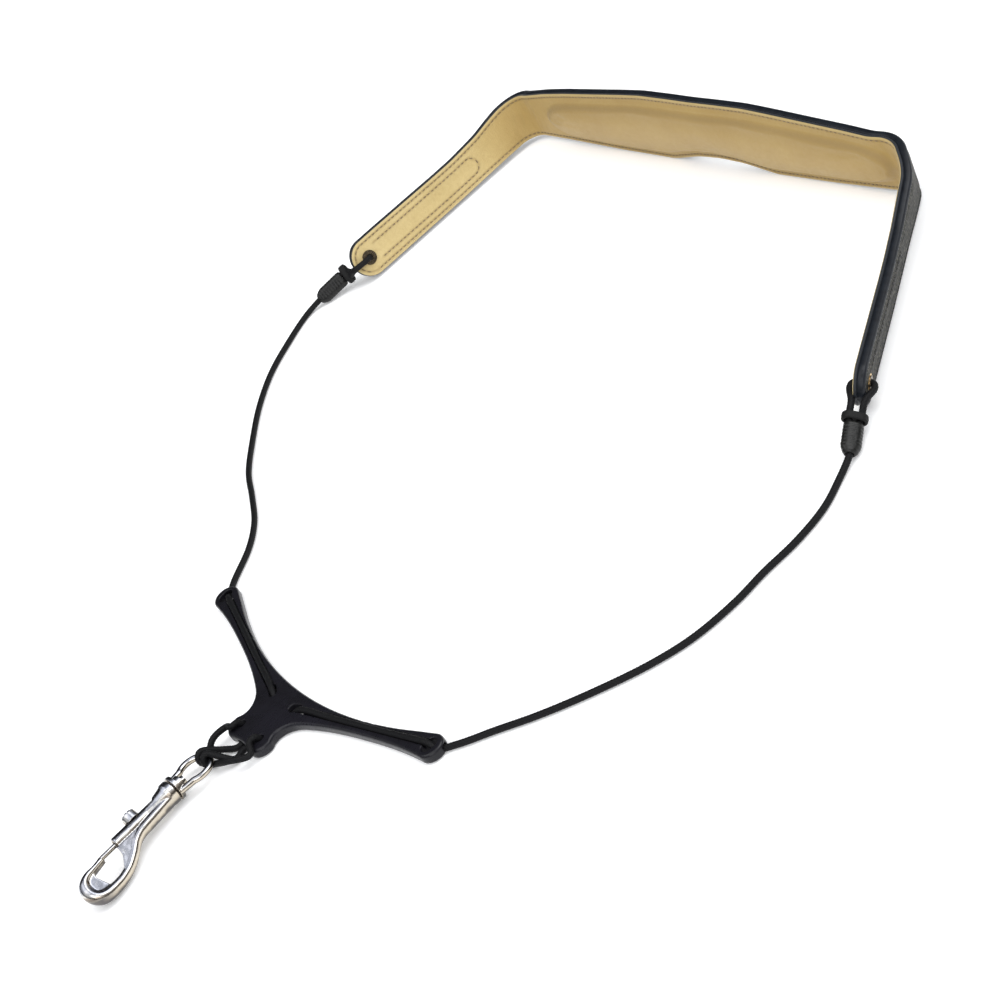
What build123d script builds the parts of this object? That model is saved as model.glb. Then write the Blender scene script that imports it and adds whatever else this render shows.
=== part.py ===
"""Saxophone neck strap: a padded leather neck band, two cords, a V-shaped
adjusting plate and a swivel bolt snap, lying relaxed on a table.

Frame: the table is z = 0 and +Z points up. The origin is the centre of the
plate's flat back. +Y runs from the snap towards the neck band.
"""
from build123d import *
from math import atan2, cos, degrees, radians, sin, tan
import os

os.makedirs("parts", exist_ok=True)

# ---------------------------------------------------------------- dimensions
# Neck band, laid out along its length on the table
BAND_LEFT_END = (-192.9, 161.5)
BAND_LEFT_CORNER = (-189.6, 259.7)
BAND_RIGHT_CORNER = (41.4, 283.1)
BAND_RIGHT_END = (110.8, 189.9)
BEND_RADIUS = 10.0
TAIL_LEAN = 21.0             # outward lean of the tails, degrees
OUTER_LEATHER = 2.8          # folded over a thick backing
LINING_LEATHER = 0.8
TAIL_INFILL = 0.5            # depth of the pocket that holds a tail reinforcement
FOAM_DEPTH = 3.2
FOAM_HALF_LENGTH = 104.0
FOAM_LIP = 0.1               # square edge of the foam, below its bevel
FOAM_BEVEL = 2.6             # width of the foam's bevelled edge
BORDER = 4.4                 # stitched margin around the foam
PILE_GAP = 0.05              # clearance between stacked soft layers

# Width of the band against the distance from its middle
BAND_WIDTHS = [
    (0, 28.2), (14, 29.2), (31, 32.4), (45, 31.2), (65, 29.2), (85, 26.8),
    (100, 24.6), (115, 22.0), (130, 18.6), (145, 16.0), (160, 15.2), (205, 15.8),
    (400, 16.0),
]
# Height of its lower edge above the table
BAND_LIFTS = [(0, 4.0), (14, 3.2), (31, 0.0), (65, 0.4), (100, 1.6), (130, 2.0),
              (170, 1.2), (400, 0.4)]

EYELET_INSET = 7.5           # eyelet centre to the end of the tail
EYELET_HOLE = 1.9            # radius of the hole in the leather
EYELET_BORE = 1.45
EYELET_BARREL = 1.85
EYELET_FLANGE = 3.1
EYELET_FLANGE_THICKNESS = 0.45
WASHER_THICKNESS = 0.35

STITCH_GAUGE = 0.5
STITCH_INSET = 1.6
CHANNEL_LENGTH = 62.0        # length of the sewn channel on each tail
CHANNEL_HALF_WIDTH = 3.6

# Cords
CORD_RADIUS = 1.25
SECTION_GAP = 0.9            # gap between the sections of one cord
CORD_LIE = 1.3               # height of a cord's centre when it lies on the table
LEFT_CORD_POINTS = [(-197.4, 113.5), (-169.3, 83.4), (-130.8, 57.9), (-104.6, 45.2)]
RIGHT_CORD_POINTS = [(133.4, 151.0), (134.8, 125.0), (133.2, 98.0), (122.6, 72.6),
                     (106.5, 47.5)]
LOOP_REACH = 8.9             # where the end loop turns past the tail, from the eyelet
LOOP_INNER_DEPTH = 2.8       # cord centre over the lining there
LOOP_OUTER_DEPTH = 4.6       # cord centre over the outer leather there
LOOP_INNER_TURN = 3.2        # cord centre over the lining at the eyelet
LOOP_OUTER_TURN = 5.1        # cord centre over the outer leather at the eyelet
LEFT_SLEEVE_START = (-203.2, 157.0, 5.8)
LEFT_SLEEVE_END = (-208.6, 144.6, 2.7)
RIGHT_SLEEVE_START = (118.0, 184.0, 5.3)
RIGHT_SLEEVE_END = (124.4, 174.6, 2.7)
SLEEVE_WIDTH = 7.2
SLEEVE_DEPTH = 4.6
SLEEVE_TIP = 4.2
SLEEVE_WALL = 0.7
KEEPER_WIDTH = 3.0
KEEPER_SET_BACK = 2.3        # keeper's middle to the sleeve
KEEPER_SPREAD = 1.95         # strand centre to the keeper's middle
STRAND_SPACING = 1.3         # strand centre to sleeve axis
STRAND_DEPTH = 8.0           # how far the loop's strands reach into the sleeve
SLEEVE_ROLLS = {"left": -70.0, "right": -20.0}   # turn of the strands about the sleeve

# Adjusting plate
PLATE_THICKNESS = 4.0
PLATE_EDGE_RADIUS = 1.1
HEAD_EDGE_Y = 6.2            # middle of the long concave edge
HEAD_EDGE_RADIUS = 185.0
HEAD_EDGE_END = 72.0
UNDER_EDGE = [(65.0, 10.5), (50.0, 7.2), (32.0, 2.3), (20.5, -1.9), (13.4, -6.3),
              (11.4, -10.6), (12.8, -14.0)]
TIP_CENTRE = (79.0, 17.6)
TIP_RADIUS = 5.2
TIP_SLOT_LENGTH = 6.4
TIP_SLOT_WIDTH = 4.4
ARM_ANGLE = 14.4
INNER_HOLE = (9.2, 0.4)
INNER_HOLE_LENGTH = 6.4
INNER_HOLE_WIDTH = 3.4
STEM_HOLE = (7.3, -15.2)
STEM_HOLE_RADIUS = 1.55
EAR_RADIUS = 6.0
STEM_END_Y = -21.2
KNOT_RECESS_RADIUS = 2.1
KNOT_RECESS_DEPTH = 2.2
CORD_CLEARANCE = 0.12
FRONT_RUN_Z = 3.45           # cord centre on the plate's front
BACK_RUN_Z = 1.35            # cord centre in the plate's back
CHANNEL_WIDTH = 2.8

# Swivel bolt snap: p runs down its axis, q towards its spine
SNAP_ORIGIN = Vector(-4.2, -49.0, 5.6)
SNAP_AXIS = Vector(0.167, -0.981, 0.10).normalized()
SNAP_ROLL = 32.0
EYE_RING_RADIUS = 6.3
EYE_WIRE_RADIUS = 1.25
EYE_RING_P = -11.5
EYE_DRUM_RADIUS = 3.1
EYE_DISC_RADIUS = 4.7
EYE_DISC_P = -2.9            # where the drum widens to the disc under the legs
EYE_BOSS_SPAN = (-5.0, -1.3)
RIVET_RADIUS = 1.5
RIVET_RUNNING_GAP = 0.05
RIVET_HEAD_RADIUS = 2.1
RIVET_HEAD_HEIGHT = 1.4
EYE_SHOULDER = 5.0           # half-spacing of the eye's legs at the bow
EYE_FOOT = (-2.6, 4.3)       # p and half-spacing where the legs end in the boss
COLLAR_RADIUS = 4.5
BARREL_RADIUS = 2.6
BARREL_END_P = 26.3
BORE_RADIUS = 1.4
BORE_START_P = 4.0
PISTON_RADIUS = 1.33
PISTON_SPAN = (13.6, 19.0)
ROD_RADIUS = 0.9
ROD_END_P = 33.0
PRONG_TOP_P = 33.1
THUMB_P = 15.8               # centre of the thumb piece
THUMB_RADIUS = 3.0
THUMB_REACH = 5.2
THUMB_SADDLE = 1.6           # how low the thumb piece wraps the barrel
THUMB_STEM = 0.85
THUMB_CORNER = 1.0
THUMB_GROOVE = 0.6
THUMB_GROOVE_PITCH = 1.4
THUMB_CLEARANCE = 0.12
PLUNGER_TRAVEL = 6.5
SPRING_WIRE = 0.2
SPRING_RADIUS = 1.1
SPRING_TURNS = 6


# ------------------------------------------------------------------- helpers
def between(table, x):
    """Straight-line interpolation in a short table of (x, value) pairs."""
    for (x0, v0), (x1, v1) in zip(table, table[1:]):
        if x <= x1:
            return v0 + (v1 - v0) * (x - x0) / (x1 - x0)
    return table[-1][1]


with BuildLine() as band_line:
    FilletPolyline(BAND_LEFT_END, BAND_LEFT_CORNER, BAND_RIGHT_CORNER,
                   BAND_RIGHT_END, radius=BEND_RADIUS)
band_path = band_line.wire()
BAND_LENGTH = band_path.length
BAND_MIDDLE = BAND_LENGTH / 2
LEFT_BEND = (Vector(*BAND_LEFT_CORNER) - Vector(*BAND_LEFT_END)).length
RIGHT_BEND = BAND_LENGTH - (Vector(*BAND_RIGHT_CORNER) - Vector(*BAND_RIGHT_END)).length


def lean_at(s):
    """Outward lean: none along the middle, TAIL_LEAN on the tails."""
    left = min(max((LEFT_BEND + 10 - s) / 30, 0), 1)
    right = min(max((s - RIGHT_BEND + 10) / 30, 0), 1)
    return radians(TAIL_LEAN) * max(left, right)


def band_frame(s):
    """Point on the band's lower edge at length s, with its tangent, the
    direction into the loop and the direction up the band's face."""
    foot = band_path.position_at(s, position_mode=PositionMode.LENGTH)
    tangent = band_path.tangent_at(s, position_mode=PositionMode.LENGTH)
    level = Vector(tangent.Y, -tangent.X, 0)
    up = Vector(0, 0, 1)
    lean = lean_at(s)
    inward = level * cos(lean) + up * sin(lean)
    rise = up * cos(lean) - level * sin(lean)
    lift = between(BAND_LIFTS, abs(s - BAND_MIDDLE))
    return foot + up * lift, tangent, inward, rise


def band_plane(s):
    """Section plane of the band: x into the loop, y up the band's face."""
    foot, tangent, inward, rise = band_frame(s)
    return Plane(origin=foot, x_dir=inward, z_dir=-tangent)


def band_width(s):
    """Width of the band at length s."""
    return between(BAND_WIDTHS, abs(s - BAND_MIDDLE))


def station_marks():
    """Section positions shared by every layer: close together through the
    bends, at each listed width, at the rounded ends and along the cushion's ramps."""
    marks = {0.0, 1.2, 4.0, BAND_LENGTH - 4.0, BAND_LENGTH - 1.2, BAND_LENGTH}
    for bend in (LEFT_BEND - 5, RIGHT_BEND + 5):
        marks |= {bend + step * 3.0 for step in range(-4, 5)}
    for side in (-1, 1):
        marks |= {BAND_MIDDLE + side * x for x, width in BAND_WIDTHS[:11]}
        marks |= {BAND_MIDDLE + side * (FOAM_HALF_LENGTH - step) for step in (0, 1.2, 4, 10, 18)}
    return sorted(marks)


STATIONS = station_marks()


def stations(start, end):
    """The shared section positions from start to end, with both ends."""
    inside = [mark for mark in STATIONS if start + 0.01 < mark < end - 0.01]
    return [start] + inside + [end]


def end_taper(s, start, end, radius):
    """Half-height lost near a rounded end."""
    reach = min(s - start, end - s)
    if reach >= radius:
        return 0.0
    return radius - (max(radius ** 2 - (radius - reach) ** 2, 0.9)) ** 0.5


def section(s, corners):
    """Closed outline across the band at length s, from (depth, height) corners."""
    with BuildSketch(band_plane(s)) as outline:
        Polygon(*corners, align=None)
    return outline.sketch


def tube(points, radius):
    """Round bar along a smooth line through the points."""
    with BuildPart() as bar:
        with BuildLine() as line:
            Spline(*points)
        with BuildSketch(line.line ^ 0):
            Circle(radius)
        sweep(path=line.line)
    return bar.part


def jointed_cord(points, radius):
    """Cord of straight runs with rounded elbows, for tight turns."""
    with BuildPart() as cord:
        for a, b in zip(points, points[1:]):
            with BuildSketch(Plane(origin=a, z_dir=b - a)):
                Circle(radius)
            extrude(amount=(b - a).length)
        for elbow in points[1:-1]:
            with Locations(elbow):
                Sphere(radius)
    return cord.part


def swell(s):
    """Depth of the cushion at length s: full in the middle, none on the tails."""
    reach = FOAM_HALF_LENGTH - abs(s - BAND_MIDDLE)
    return FOAM_DEPTH * min(max(reach / 26, 0), 1) ** 0.5


# ----------------------------------------------------------------- neck band
HALF_TAIL = 7.6              # radius of a tail's rounded end
LINING_BASE = LINING_LEATHER + TAIL_INFILL
EYELETS = {"left": EYELET_INSET, "right": BAND_LENGTH - EYELET_INSET}
FOAM_STATIONS = stations(BAND_MIDDLE - FOAM_HALF_LENGTH, BAND_MIDDLE + FOAM_HALF_LENGTH)
TAIL_SPANS = {
    "left": (EYELET_INSET + 6, EYELET_INSET + CHANNEL_LENGTH),
    "right": (BAND_LENGTH - EYELET_INSET - CHANNEL_LENGTH, BAND_LENGTH - EYELET_INSET - 6),
}


def eyelet_plane(side, depth=0.0):
    """Plane across the band at an eyelet, z into the loop."""
    s = EYELETS[side]
    foot, tangent, inward, rise = band_frame(s)
    centre = foot + rise * (band_width(s) / 2) + inward * depth
    return Plane(origin=centre, x_dir=tangent, z_dir=inward)


def outer_section(s):
    """Flat leather with rounded tail ends."""
    lost = end_taper(s, 0, BAND_LENGTH, HALF_TAIL)
    high = band_width(s) - lost
    return section(s, [(-OUTER_LEATHER, lost), (0, lost), (0, high), (-OUTER_LEATHER, high)])


def lining_section(s):
    """Leather with flat borders and a crown over the cushion."""
    low = end_taper(s, 0, BAND_LENGTH, HALF_TAIL)
    high = band_width(s) - low
    half = (high - low) / 2
    ledge = min(BORDER - 1.0, half * 0.5)
    crown = min(BORDER + 1.6, half * 0.8)
    top = LINING_BASE + swell(s) + 0.01
    return section(s, [(0, low), (LINING_BASE, low), (LINING_BASE, low + ledge),
                       (top, low + crown), (top, high - crown),
                       (LINING_BASE, high - ledge), (LINING_BASE, high), (0, high)])


def foam_section(s, inset, back):
    """Trapezoid of the cushion."""
    depth = max(swell(s) + TAIL_INFILL - inset, 0.2)
    low = BORDER + 2 * inset
    high = band_width(s) - low
    return section(s, [(back, low), (FOAM_LIP, low), (depth, low + FOAM_BEVEL),
                       (depth, high - FOAM_BEVEL), (FOAM_LIP, high), (back, high)])


def reinforcement_section(s, inset, back):
    """Flat strip behind a tail's sewn channel."""
    middle = band_width(s) / 2
    half = CHANNEL_HALF_WIDTH - 0.8 - inset
    front = TAIL_INFILL - inset
    return section(s, [(back, middle - half), (front, middle - half),
                       (front, middle + half), (back, middle + half)])


def reinforcement_sections(side, inset, back):
    """Sections of a tail's reinforcement, or of its pocket when inset is 0."""
    start, end = TAIL_SPANS[side]
    places = stations(start + inset, end - inset)
    return [reinforcement_section(s, inset, back) for s in places]


with BuildPart() as outer_leather:
    loft([outer_section(s) for s in stations(0, BAND_LENGTH)], ruled=True)
    for side in EYELETS:
        with BuildSketch(eyelet_plane(side, -OUTER_LEATHER - 1)):
            Circle(EYELET_HOLE)
        extrude(amount=OUTER_LEATHER + 2, mode=Mode.SUBTRACT)
outer_leather.part.label = "outer_leather"

with BuildPart() as pockets:
    loft([foam_section(s, 0.0, -0.4) for s in FOAM_STATIONS], ruled=True)
    for side in TAIL_SPANS:
        loft(reinforcement_sections(side, 0.0, -0.4), ruled=True)

with BuildPart() as lining_leather:
    loft([lining_section(s) for s in stations(0, BAND_LENGTH)], ruled=True)
    add(pockets.part, mode=Mode.SUBTRACT)
    for side in EYELETS:
        with BuildSketch(eyelet_plane(side, -1)):
            Circle(EYELET_HOLE)
        extrude(amount=LINING_BASE + 2, mode=Mode.SUBTRACT)
lining_leather.part.label = "lining_leather"

with BuildPart() as foam_core:
    loft([foam_section(s, 0.15, PILE_GAP) for s in FOAM_STATIONS[1:-1]], ruled=True)
foam_core.part.label = "foam_core"

with BuildPart() as left_tail_reinforcement:
    loft(reinforcement_sections("left", PILE_GAP, PILE_GAP), ruled=True)
left_tail_reinforcement.part.label = "left_tail_reinforcement"

with BuildPart() as right_tail_reinforcement:
    loft(reinforcement_sections("right", PILE_GAP, PILE_GAP), ruled=True)
right_tail_reinforcement.part.label = "right_tail_reinforcement"


def thread_strip(start, end, depth, height_at):
    """Line of thread on a face of the band, at height_at(s) above its edge."""
    low_depth, high_depth = sorted((depth, depth + (1 if depth > 0 else -1) * STITCH_GAUGE * 0.6))
    half = STITCH_GAUGE / 2
    sections = []
    for s in stations(start, end):
        h = height_at(s)
        sections.append(section(s, [(low_depth, h - half), (high_depth, h - half),
                                    (high_depth, h + half), (low_depth, h + half)]))
    return loft(sections, ruled=True, mode=Mode.PRIVATE)


INNER_THREAD_DEPTH = LINING_BASE + 0.03
OUTER_THREAD_DEPTH = -OUTER_LEATHER - 0.02


def edge_heights(s):
    """Heights of the two perimeter seams at length s."""
    return STITCH_INSET, band_width(s) - STITCH_INSET


def channel_heights(s):
    """Heights of the two seams along a tail's channel."""
    middle = band_width(s) / 2
    return middle - CHANNEL_HALF_WIDTH, middle + CHANNEL_HALF_WIDTH


def edge_thread(depth):
    """The two perimeter seams on one face."""
    with BuildPart() as seams:
        for edge in (0, 1):
            add(thread_strip(8, BAND_LENGTH - 8, depth, lambda s: edge_heights(s)[edge]))
    return seams.part


def channel_thread(side, depth):
    """The two seams of a tail's sewn channel on one face."""
    start, end = TAIL_SPANS[side]
    with BuildPart() as seams:
        for edge in (0, 1):
            add(thread_strip(start, end, depth, lambda s: channel_heights(s)[edge]))
    return seams.part


with BuildPart() as inner_edge_thread:
    add(edge_thread(INNER_THREAD_DEPTH))
inner_edge_thread.part.label = "inner_edge_thread"

with BuildPart() as outer_edge_thread:
    add(edge_thread(OUTER_THREAD_DEPTH))
outer_edge_thread.part.label = "outer_edge_thread"

with BuildPart() as left_inner_channel_thread:
    add(channel_thread("left", INNER_THREAD_DEPTH))
left_inner_channel_thread.part.label = "left_inner_channel_thread"

with BuildPart() as left_outer_channel_thread:
    add(channel_thread("left", OUTER_THREAD_DEPTH))
left_outer_channel_thread.part.label = "left_outer_channel_thread"

with BuildPart() as right_inner_channel_thread:
    add(channel_thread("right", INNER_THREAD_DEPTH))
right_inner_channel_thread.part.label = "right_inner_channel_thread"

with BuildPart() as right_outer_channel_thread:
    add(channel_thread("right", OUTER_THREAD_DEPTH))
right_outer_channel_thread.part.label = "right_outer_channel_thread"


# ------------------------------------------------------------------- eyelets
FLANGE_SEAT = LINING_BASE + 0.03
WASHER_SEAT = -OUTER_LEATHER - 0.02
ROLL_SEAT = WASHER_SEAT - WASHER_THICKNESS
ROLL_HEIGHT = 0.4


def eyelet(side):
    """Flanged barrel with its far end rolled over a washer."""
    with BuildPart() as ring:
        with BuildSketch(eyelet_plane(side, ROLL_SEAT)):
            Circle(EYELET_BARREL)
        extrude(amount=FLANGE_SEAT - ROLL_SEAT)
        with BuildSketch(eyelet_plane(side, FLANGE_SEAT)):
            Circle(EYELET_FLANGE)
        extrude(amount=EYELET_FLANGE_THICKNESS)
        with BuildSketch(eyelet_plane(side, ROLL_SEAT - ROLL_HEIGHT)):
            Circle(EYELET_BARREL + 0.6)
        extrude(amount=ROLL_HEIGHT)
        with BuildSketch(eyelet_plane(side, -6)):
            Circle(EYELET_BORE)
        extrude(amount=12, mode=Mode.SUBTRACT)
    return ring.part


def washer(side):
    """Flat ring under the eyelet's rolled end."""
    with BuildPart() as ring:
        with BuildSketch(eyelet_plane(side, ROLL_SEAT)):
            Circle(EYELET_FLANGE)
            Circle(EYELET_BARREL + 0.03, mode=Mode.SUBTRACT)
        extrude(amount=WASHER_THICKNESS)
    return ring.part


with BuildPart() as left_eyelet:
    add(eyelet("left"))
left_eyelet.part.label = "left_eyelet"

with BuildPart() as right_eyelet:
    add(eyelet("right"))
right_eyelet.part.label = "right_eyelet"

with BuildPart() as left_eyelet_washer:
    add(washer("left"))
left_eyelet_washer.part.label = "left_eyelet_washer"

with BuildPart() as right_eyelet_washer:
    add(washer("right"))
right_eyelet_washer.part.label = "right_eyelet_washer"


# ------------------------------------------- cord ends: loop, keeper, sleeve
SLEEVES = {
    "left": (Vector(*LEFT_SLEEVE_START), Vector(*LEFT_SLEEVE_END)),
    "right": (Vector(*RIGHT_SLEEVE_START), Vector(*RIGHT_SLEEVE_END)),
}


def sleeve_frame(side):
    """Start of a sleeve with its axis and the direction across both strands."""
    start, end = SLEEVES[side]
    axis = (end - start).normalized()
    inward = eyelet_plane(side).z_dir
    level = (inward - axis * inward.dot(axis)).normalized()
    roll = radians(SLEEVE_ROLLS[side])
    return start, axis, level * cos(roll) + axis.cross(level) * sin(roll)


def end_loop(side):
    """Cord over both faces of a tail and through its eyelet."""
    start, axis, across = sleeve_frame(side)
    plane = eyelet_plane(side)
    out = plane.x_dir * (-1 if side == "left" else 1)
    inner = [start + axis * STRAND_DEPTH + across * STRAND_SPACING,
             start + across * STRAND_SPACING,
             start - axis * KEEPER_SET_BACK + across * KEEPER_SPREAD,
             plane.origin + out * LOOP_REACH + plane.z_dir * LOOP_INNER_DEPTH,
             plane.origin + plane.z_dir * LOOP_INNER_TURN]
    outer = [start + axis * STRAND_DEPTH - across * STRAND_SPACING,
             start - across * STRAND_SPACING,
             start - axis * KEEPER_SET_BACK - across * KEEPER_SPREAD,
             plane.origin + out * LOOP_REACH - plane.z_dir * LOOP_OUTER_DEPTH,
             plane.origin - plane.z_dir * LOOP_OUTER_TURN]
    return jointed_cord(inner + outer[::-1], CORD_RADIUS)


def keeper(side):
    """Elastic ring that gathers the loop's two strands."""
    start, axis, across = sleeve_frame(side)
    plane = Plane(origin=start - axis * (KEEPER_SET_BACK + KEEPER_WIDTH / 2),
                  x_dir=across, z_dir=axis)
    with BuildPart() as ring:
        with BuildSketch(plane):
            SlotCenterToCenter(2 * KEEPER_SPREAD, 2 * CORD_RADIUS + 2.4)
            SlotCenterToCenter(2 * KEEPER_SPREAD, 2 * CORD_RADIUS + 0.2, mode=Mode.SUBTRACT)
        extrude(amount=KEEPER_WIDTH)
        fillet(ring.edges().filter_by(GeomType.CIRCLE), 0.4)
    return ring.part


def sleeve(side):
    """Shrunk tube: oval over two strands, tapering to one."""
    start, axis, across = sleeve_frame(side)
    length = (SLEEVES[side][1] - start).length
    with BuildPart() as shell:
        for inset in (0.0, SLEEVE_WALL):
            mode = Mode.SUBTRACT if inset else Mode.ADD
            rings = []
            for along, width, depth in [(0, SLEEVE_WIDTH, SLEEVE_DEPTH),
                                        (STRAND_DEPTH, SLEEVE_WIDTH - 0.2, SLEEVE_DEPTH),
                                        (length, SLEEVE_TIP + 0.1, SLEEVE_TIP)]:
                reach = 0.01 if inset and along in (0, length) else 0
                shift = along + (reach if along else -reach)
                with BuildSketch(Plane(origin=start + axis * shift, x_dir=across,
                                       z_dir=axis)) as ring:
                    Ellipse(width / 2 - inset, depth / 2 - inset)
                rings.append(ring.sketch)
            loft(rings, ruled=True, mode=mode)
    return shell.part


with BuildPart() as left_end_loop:
    add(end_loop("left"))
left_end_loop.part.label = "left_end_loop"

with BuildPart() as right_end_loop:
    add(end_loop("right"))
right_end_loop.part.label = "right_end_loop"

with BuildPart() as left_keeper:
    add(keeper("left"))
left_keeper.part.label = "left_keeper"

with BuildPart() as right_keeper:
    add(keeper("right"))
right_keeper.part.label = "right_keeper"

with BuildPart() as left_sleeve:
    add(sleeve("left"))
left_sleeve.part.label = "left_sleeve"

with BuildPart() as right_sleeve:
    add(sleeve("right"))
right_sleeve.part.label = "right_sleeve"


# --------------------------------------------------------------- long cords
TIP_EXIT = (86.4, 23.9)      # where a cord leaves the plate's tip
BACK_EXIT = (1.7, -21.7)     # where it leaves the plate's back


def long_cord(side, points):
    """Cord lying on the table between a sleeve and a plate tip."""
    start, axis, across = sleeve_frame(side)
    end = SLEEVES[side][1]
    sign = -1 if side == "left" else 1
    lying = [Vector(x, y, CORD_LIE) for x, y in points]
    exit_point = Vector(sign * TIP_EXIT[0], TIP_EXIT[1], BACK_RUN_Z)
    first = start + axis * (STRAND_DEPTH + SECTION_GAP)
    last = exit_point + (lying[-1] - exit_point).normalized() * SECTION_GAP
    return tube([first, end] + lying + [last], CORD_RADIUS)


with BuildPart() as left_cord:
    add(long_cord("left", LEFT_CORD_POINTS))
left_cord.part.label = "left_cord"

with BuildPart() as right_cord:
    add(long_cord("right", RIGHT_CORD_POINTS))
right_cord.part.label = "right_cord"


# ----------------------------------------------------------- adjusting plate
def arm_point(x):
    """Height along Y of the arm's centre line at x."""
    return INNER_HOLE[1] + (x - INNER_HOLE[0]) * tan(radians(ARM_ANGLE))


def arm_run(side):
    """Cord on the plate: under the tip, along the arm, down the inner hole
    and out of the back at the stem."""
    sign = -1 if side == "left" else 1
    places = [(TIP_EXIT[0], TIP_EXIT[1], BACK_RUN_Z), (80.3, 18.6, BACK_RUN_Z),
              (77.6, arm_point(77.6), FRONT_RUN_Z), (10.4, arm_point(10.4), FRONT_RUN_Z),
              (7.4, -1.6, BACK_RUN_Z), (BACK_EXIT[0], BACK_EXIT[1], BACK_RUN_Z)]
    return [Vector(sign * x, y, z) for x, y, z in places]


head_circle_y = HEAD_EDGE_Y + HEAD_EDGE_RADIUS
tip_x, tip_y = TIP_CENTRE
ear_x, ear_y = STEM_HOLE
head_edge_angle = degrees(atan2(HEAD_EDGE_END, HEAD_EDGE_RADIUS))

with BuildPart() as yoke_plate:
    with BuildSketch() as outline:
        with BuildLine() as edge:
            head = CenterArc((0, head_circle_y), HEAD_EDGE_RADIUS, 270, head_edge_angle)
            shoulder = Line(head @ 1, (tip_x - 1.3, tip_y + TIP_RADIUS - 0.15))
            tip = ThreePointArc(shoulder @ 1, (tip_x + TIP_RADIUS, tip_y),
                                (tip_x + 1.2, tip_y - TIP_RADIUS + 0.15))
            under = Spline(tip @ 1, *UNDER_EDGE)
            ear = ThreePointArc(under @ 1, (ear_x + 4.4, ear_y - 4.2), (ear_x, STEM_END_Y))
            foot = ThreePointArc(ear @ 1, (ear_x / 2, STEM_END_Y + 0.9), (0, STEM_END_Y + 1.3))
            Line(foot @ 1, head @ 0)
        make_face()
        mirror(about=Plane.YZ)
    extrude(amount=PLATE_THICKNESS)
    rims = yoke_plate.edges().filter_by_position(Axis.Z, 0, 0) \
        + yoke_plate.edges().filter_by_position(Axis.Z, PLATE_THICKNESS, PLATE_THICKNESS)
    fillet(rims, PLATE_EDGE_RADIUS)
    for sign in (-1, 1):
        run = [Vector(point.X * sign, point.Y) for point in arm_run("right")]
        with BuildSketch(Plane.XY.offset(-1)):
            with Locations(Location((sign * tip_x, tip_y), sign * 80)):
                SlotOverall(TIP_SLOT_LENGTH, TIP_SLOT_WIDTH)
            with Locations(Location((sign * INNER_HOLE[0], INNER_HOLE[1]), sign * 24)):
                SlotOverall(INNER_HOLE_LENGTH, INNER_HOLE_WIDTH)
            with Locations((sign * ear_x, ear_y)):
                Circle(STEM_HOLE_RADIUS)
        extrude(amount=PLATE_THICKNESS + 2, mode=Mode.SUBTRACT)
        with BuildSketch(Plane.XY.offset(-1)):
            with Locations((sign * ear_x, ear_y)):
                Circle(KNOT_RECESS_RADIUS)
        extrude(amount=KNOT_RECESS_DEPTH + 1, mode=Mode.SUBTRACT)
        with BuildSketch(Plane.XY.offset(FRONT_RUN_Z - CORD_RADIUS - CORD_CLEARANCE)):
            SlotCenterPoint((run[2] + run[3]) / 2, run[3], CHANNEL_WIDTH)
        extrude(amount=PLATE_THICKNESS, mode=Mode.SUBTRACT)
        with BuildSketch(Plane.XY.offset(-1)):
            SlotCenterPoint((run[0] + run[1]) / 2, run[1], CHANNEL_WIDTH)
            SlotCenterPoint((run[4] + run[5]) / 2, run[4], CHANNEL_WIDTH)
        extrude(amount=1 + BACK_RUN_Z + CORD_RADIUS + CORD_CLEARANCE, mode=Mode.SUBTRACT)
yoke_plate.part.label = "yoke_plate"

with BuildPart() as left_arm_cord:
    add(jointed_cord(arm_run("left"), CORD_RADIUS))
left_arm_cord.part.label = "left_arm_cord"

with BuildPart() as right_arm_cord:
    add(jointed_cord(arm_run("right"), CORD_RADIUS))
right_arm_cord.part.label = "right_arm_cord"


def end_knot(side):
    """Cord end that drops through a stem hole, with its stopper in the back."""
    sign = -1 if side == "left" else 1
    turn = [Vector(sign * ear_x, ear_y - 3.0, PLATE_THICKNESS + 1.55),
            Vector(sign * ear_x, ear_y, PLATE_THICKNESS + 1.0),
            Vector(sign * ear_x, ear_y, 1.6)]
    with BuildPart() as knot:
        add(jointed_cord(turn, CORD_RADIUS))
        with BuildSketch(Plane.XY.offset(0.15)):
            with Locations((sign * ear_x, ear_y)):
                Circle(KNOT_RECESS_RADIUS - 0.15)
        extrude(amount=KNOT_RECESS_DEPTH - 0.3)
    return knot.part


with BuildPart() as left_end_knot:
    add(end_knot("left"))
left_end_knot.part.label = "left_end_knot"

with BuildPart() as right_end_knot:
    add(end_knot("right"))
right_end_knot.part.label = "right_end_knot"


# ------------------------------------------------------------ snap's frame
level_side = Vector(-SNAP_AXIS.Y, SNAP_AXIS.X, 0).normalized()
snap_up = level_side.cross(SNAP_AXIS).normalized()
if snap_up.Z < 0:
    snap_up = snap_up * -1
spine_side = level_side * cos(radians(SNAP_ROLL)) - snap_up * sin(radians(SNAP_ROLL))
snap_normal = SNAP_AXIS.cross(spine_side)


def snap_point(p, q=0.0, w=0.0):
    """Point at p down the snap's axis, q towards the spine, w off its plane."""
    return SNAP_ORIGIN + SNAP_AXIS * p + spine_side * q + snap_normal * w


def across_axis(p):
    """Plane square to the snap's axis at p."""
    return Plane(origin=snap_point(p), x_dir=spine_side, z_dir=SNAP_AXIS)


snap_axis_line = Axis(SNAP_ORIGIN, SNAP_AXIS)
snap_plane = Plane(origin=SNAP_ORIGIN, x_dir=SNAP_AXIS, z_dir=snap_normal)
eye_plane = Plane(origin=SNAP_ORIGIN, x_dir=SNAP_AXIS, z_dir=SNAP_AXIS.cross(level_side))


# -------------------------------------------------------------- hook loops
EYE_TOP_P = EYE_RING_P - EYE_RING_RADIUS
LOOP_SPACING = 1.7


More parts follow.
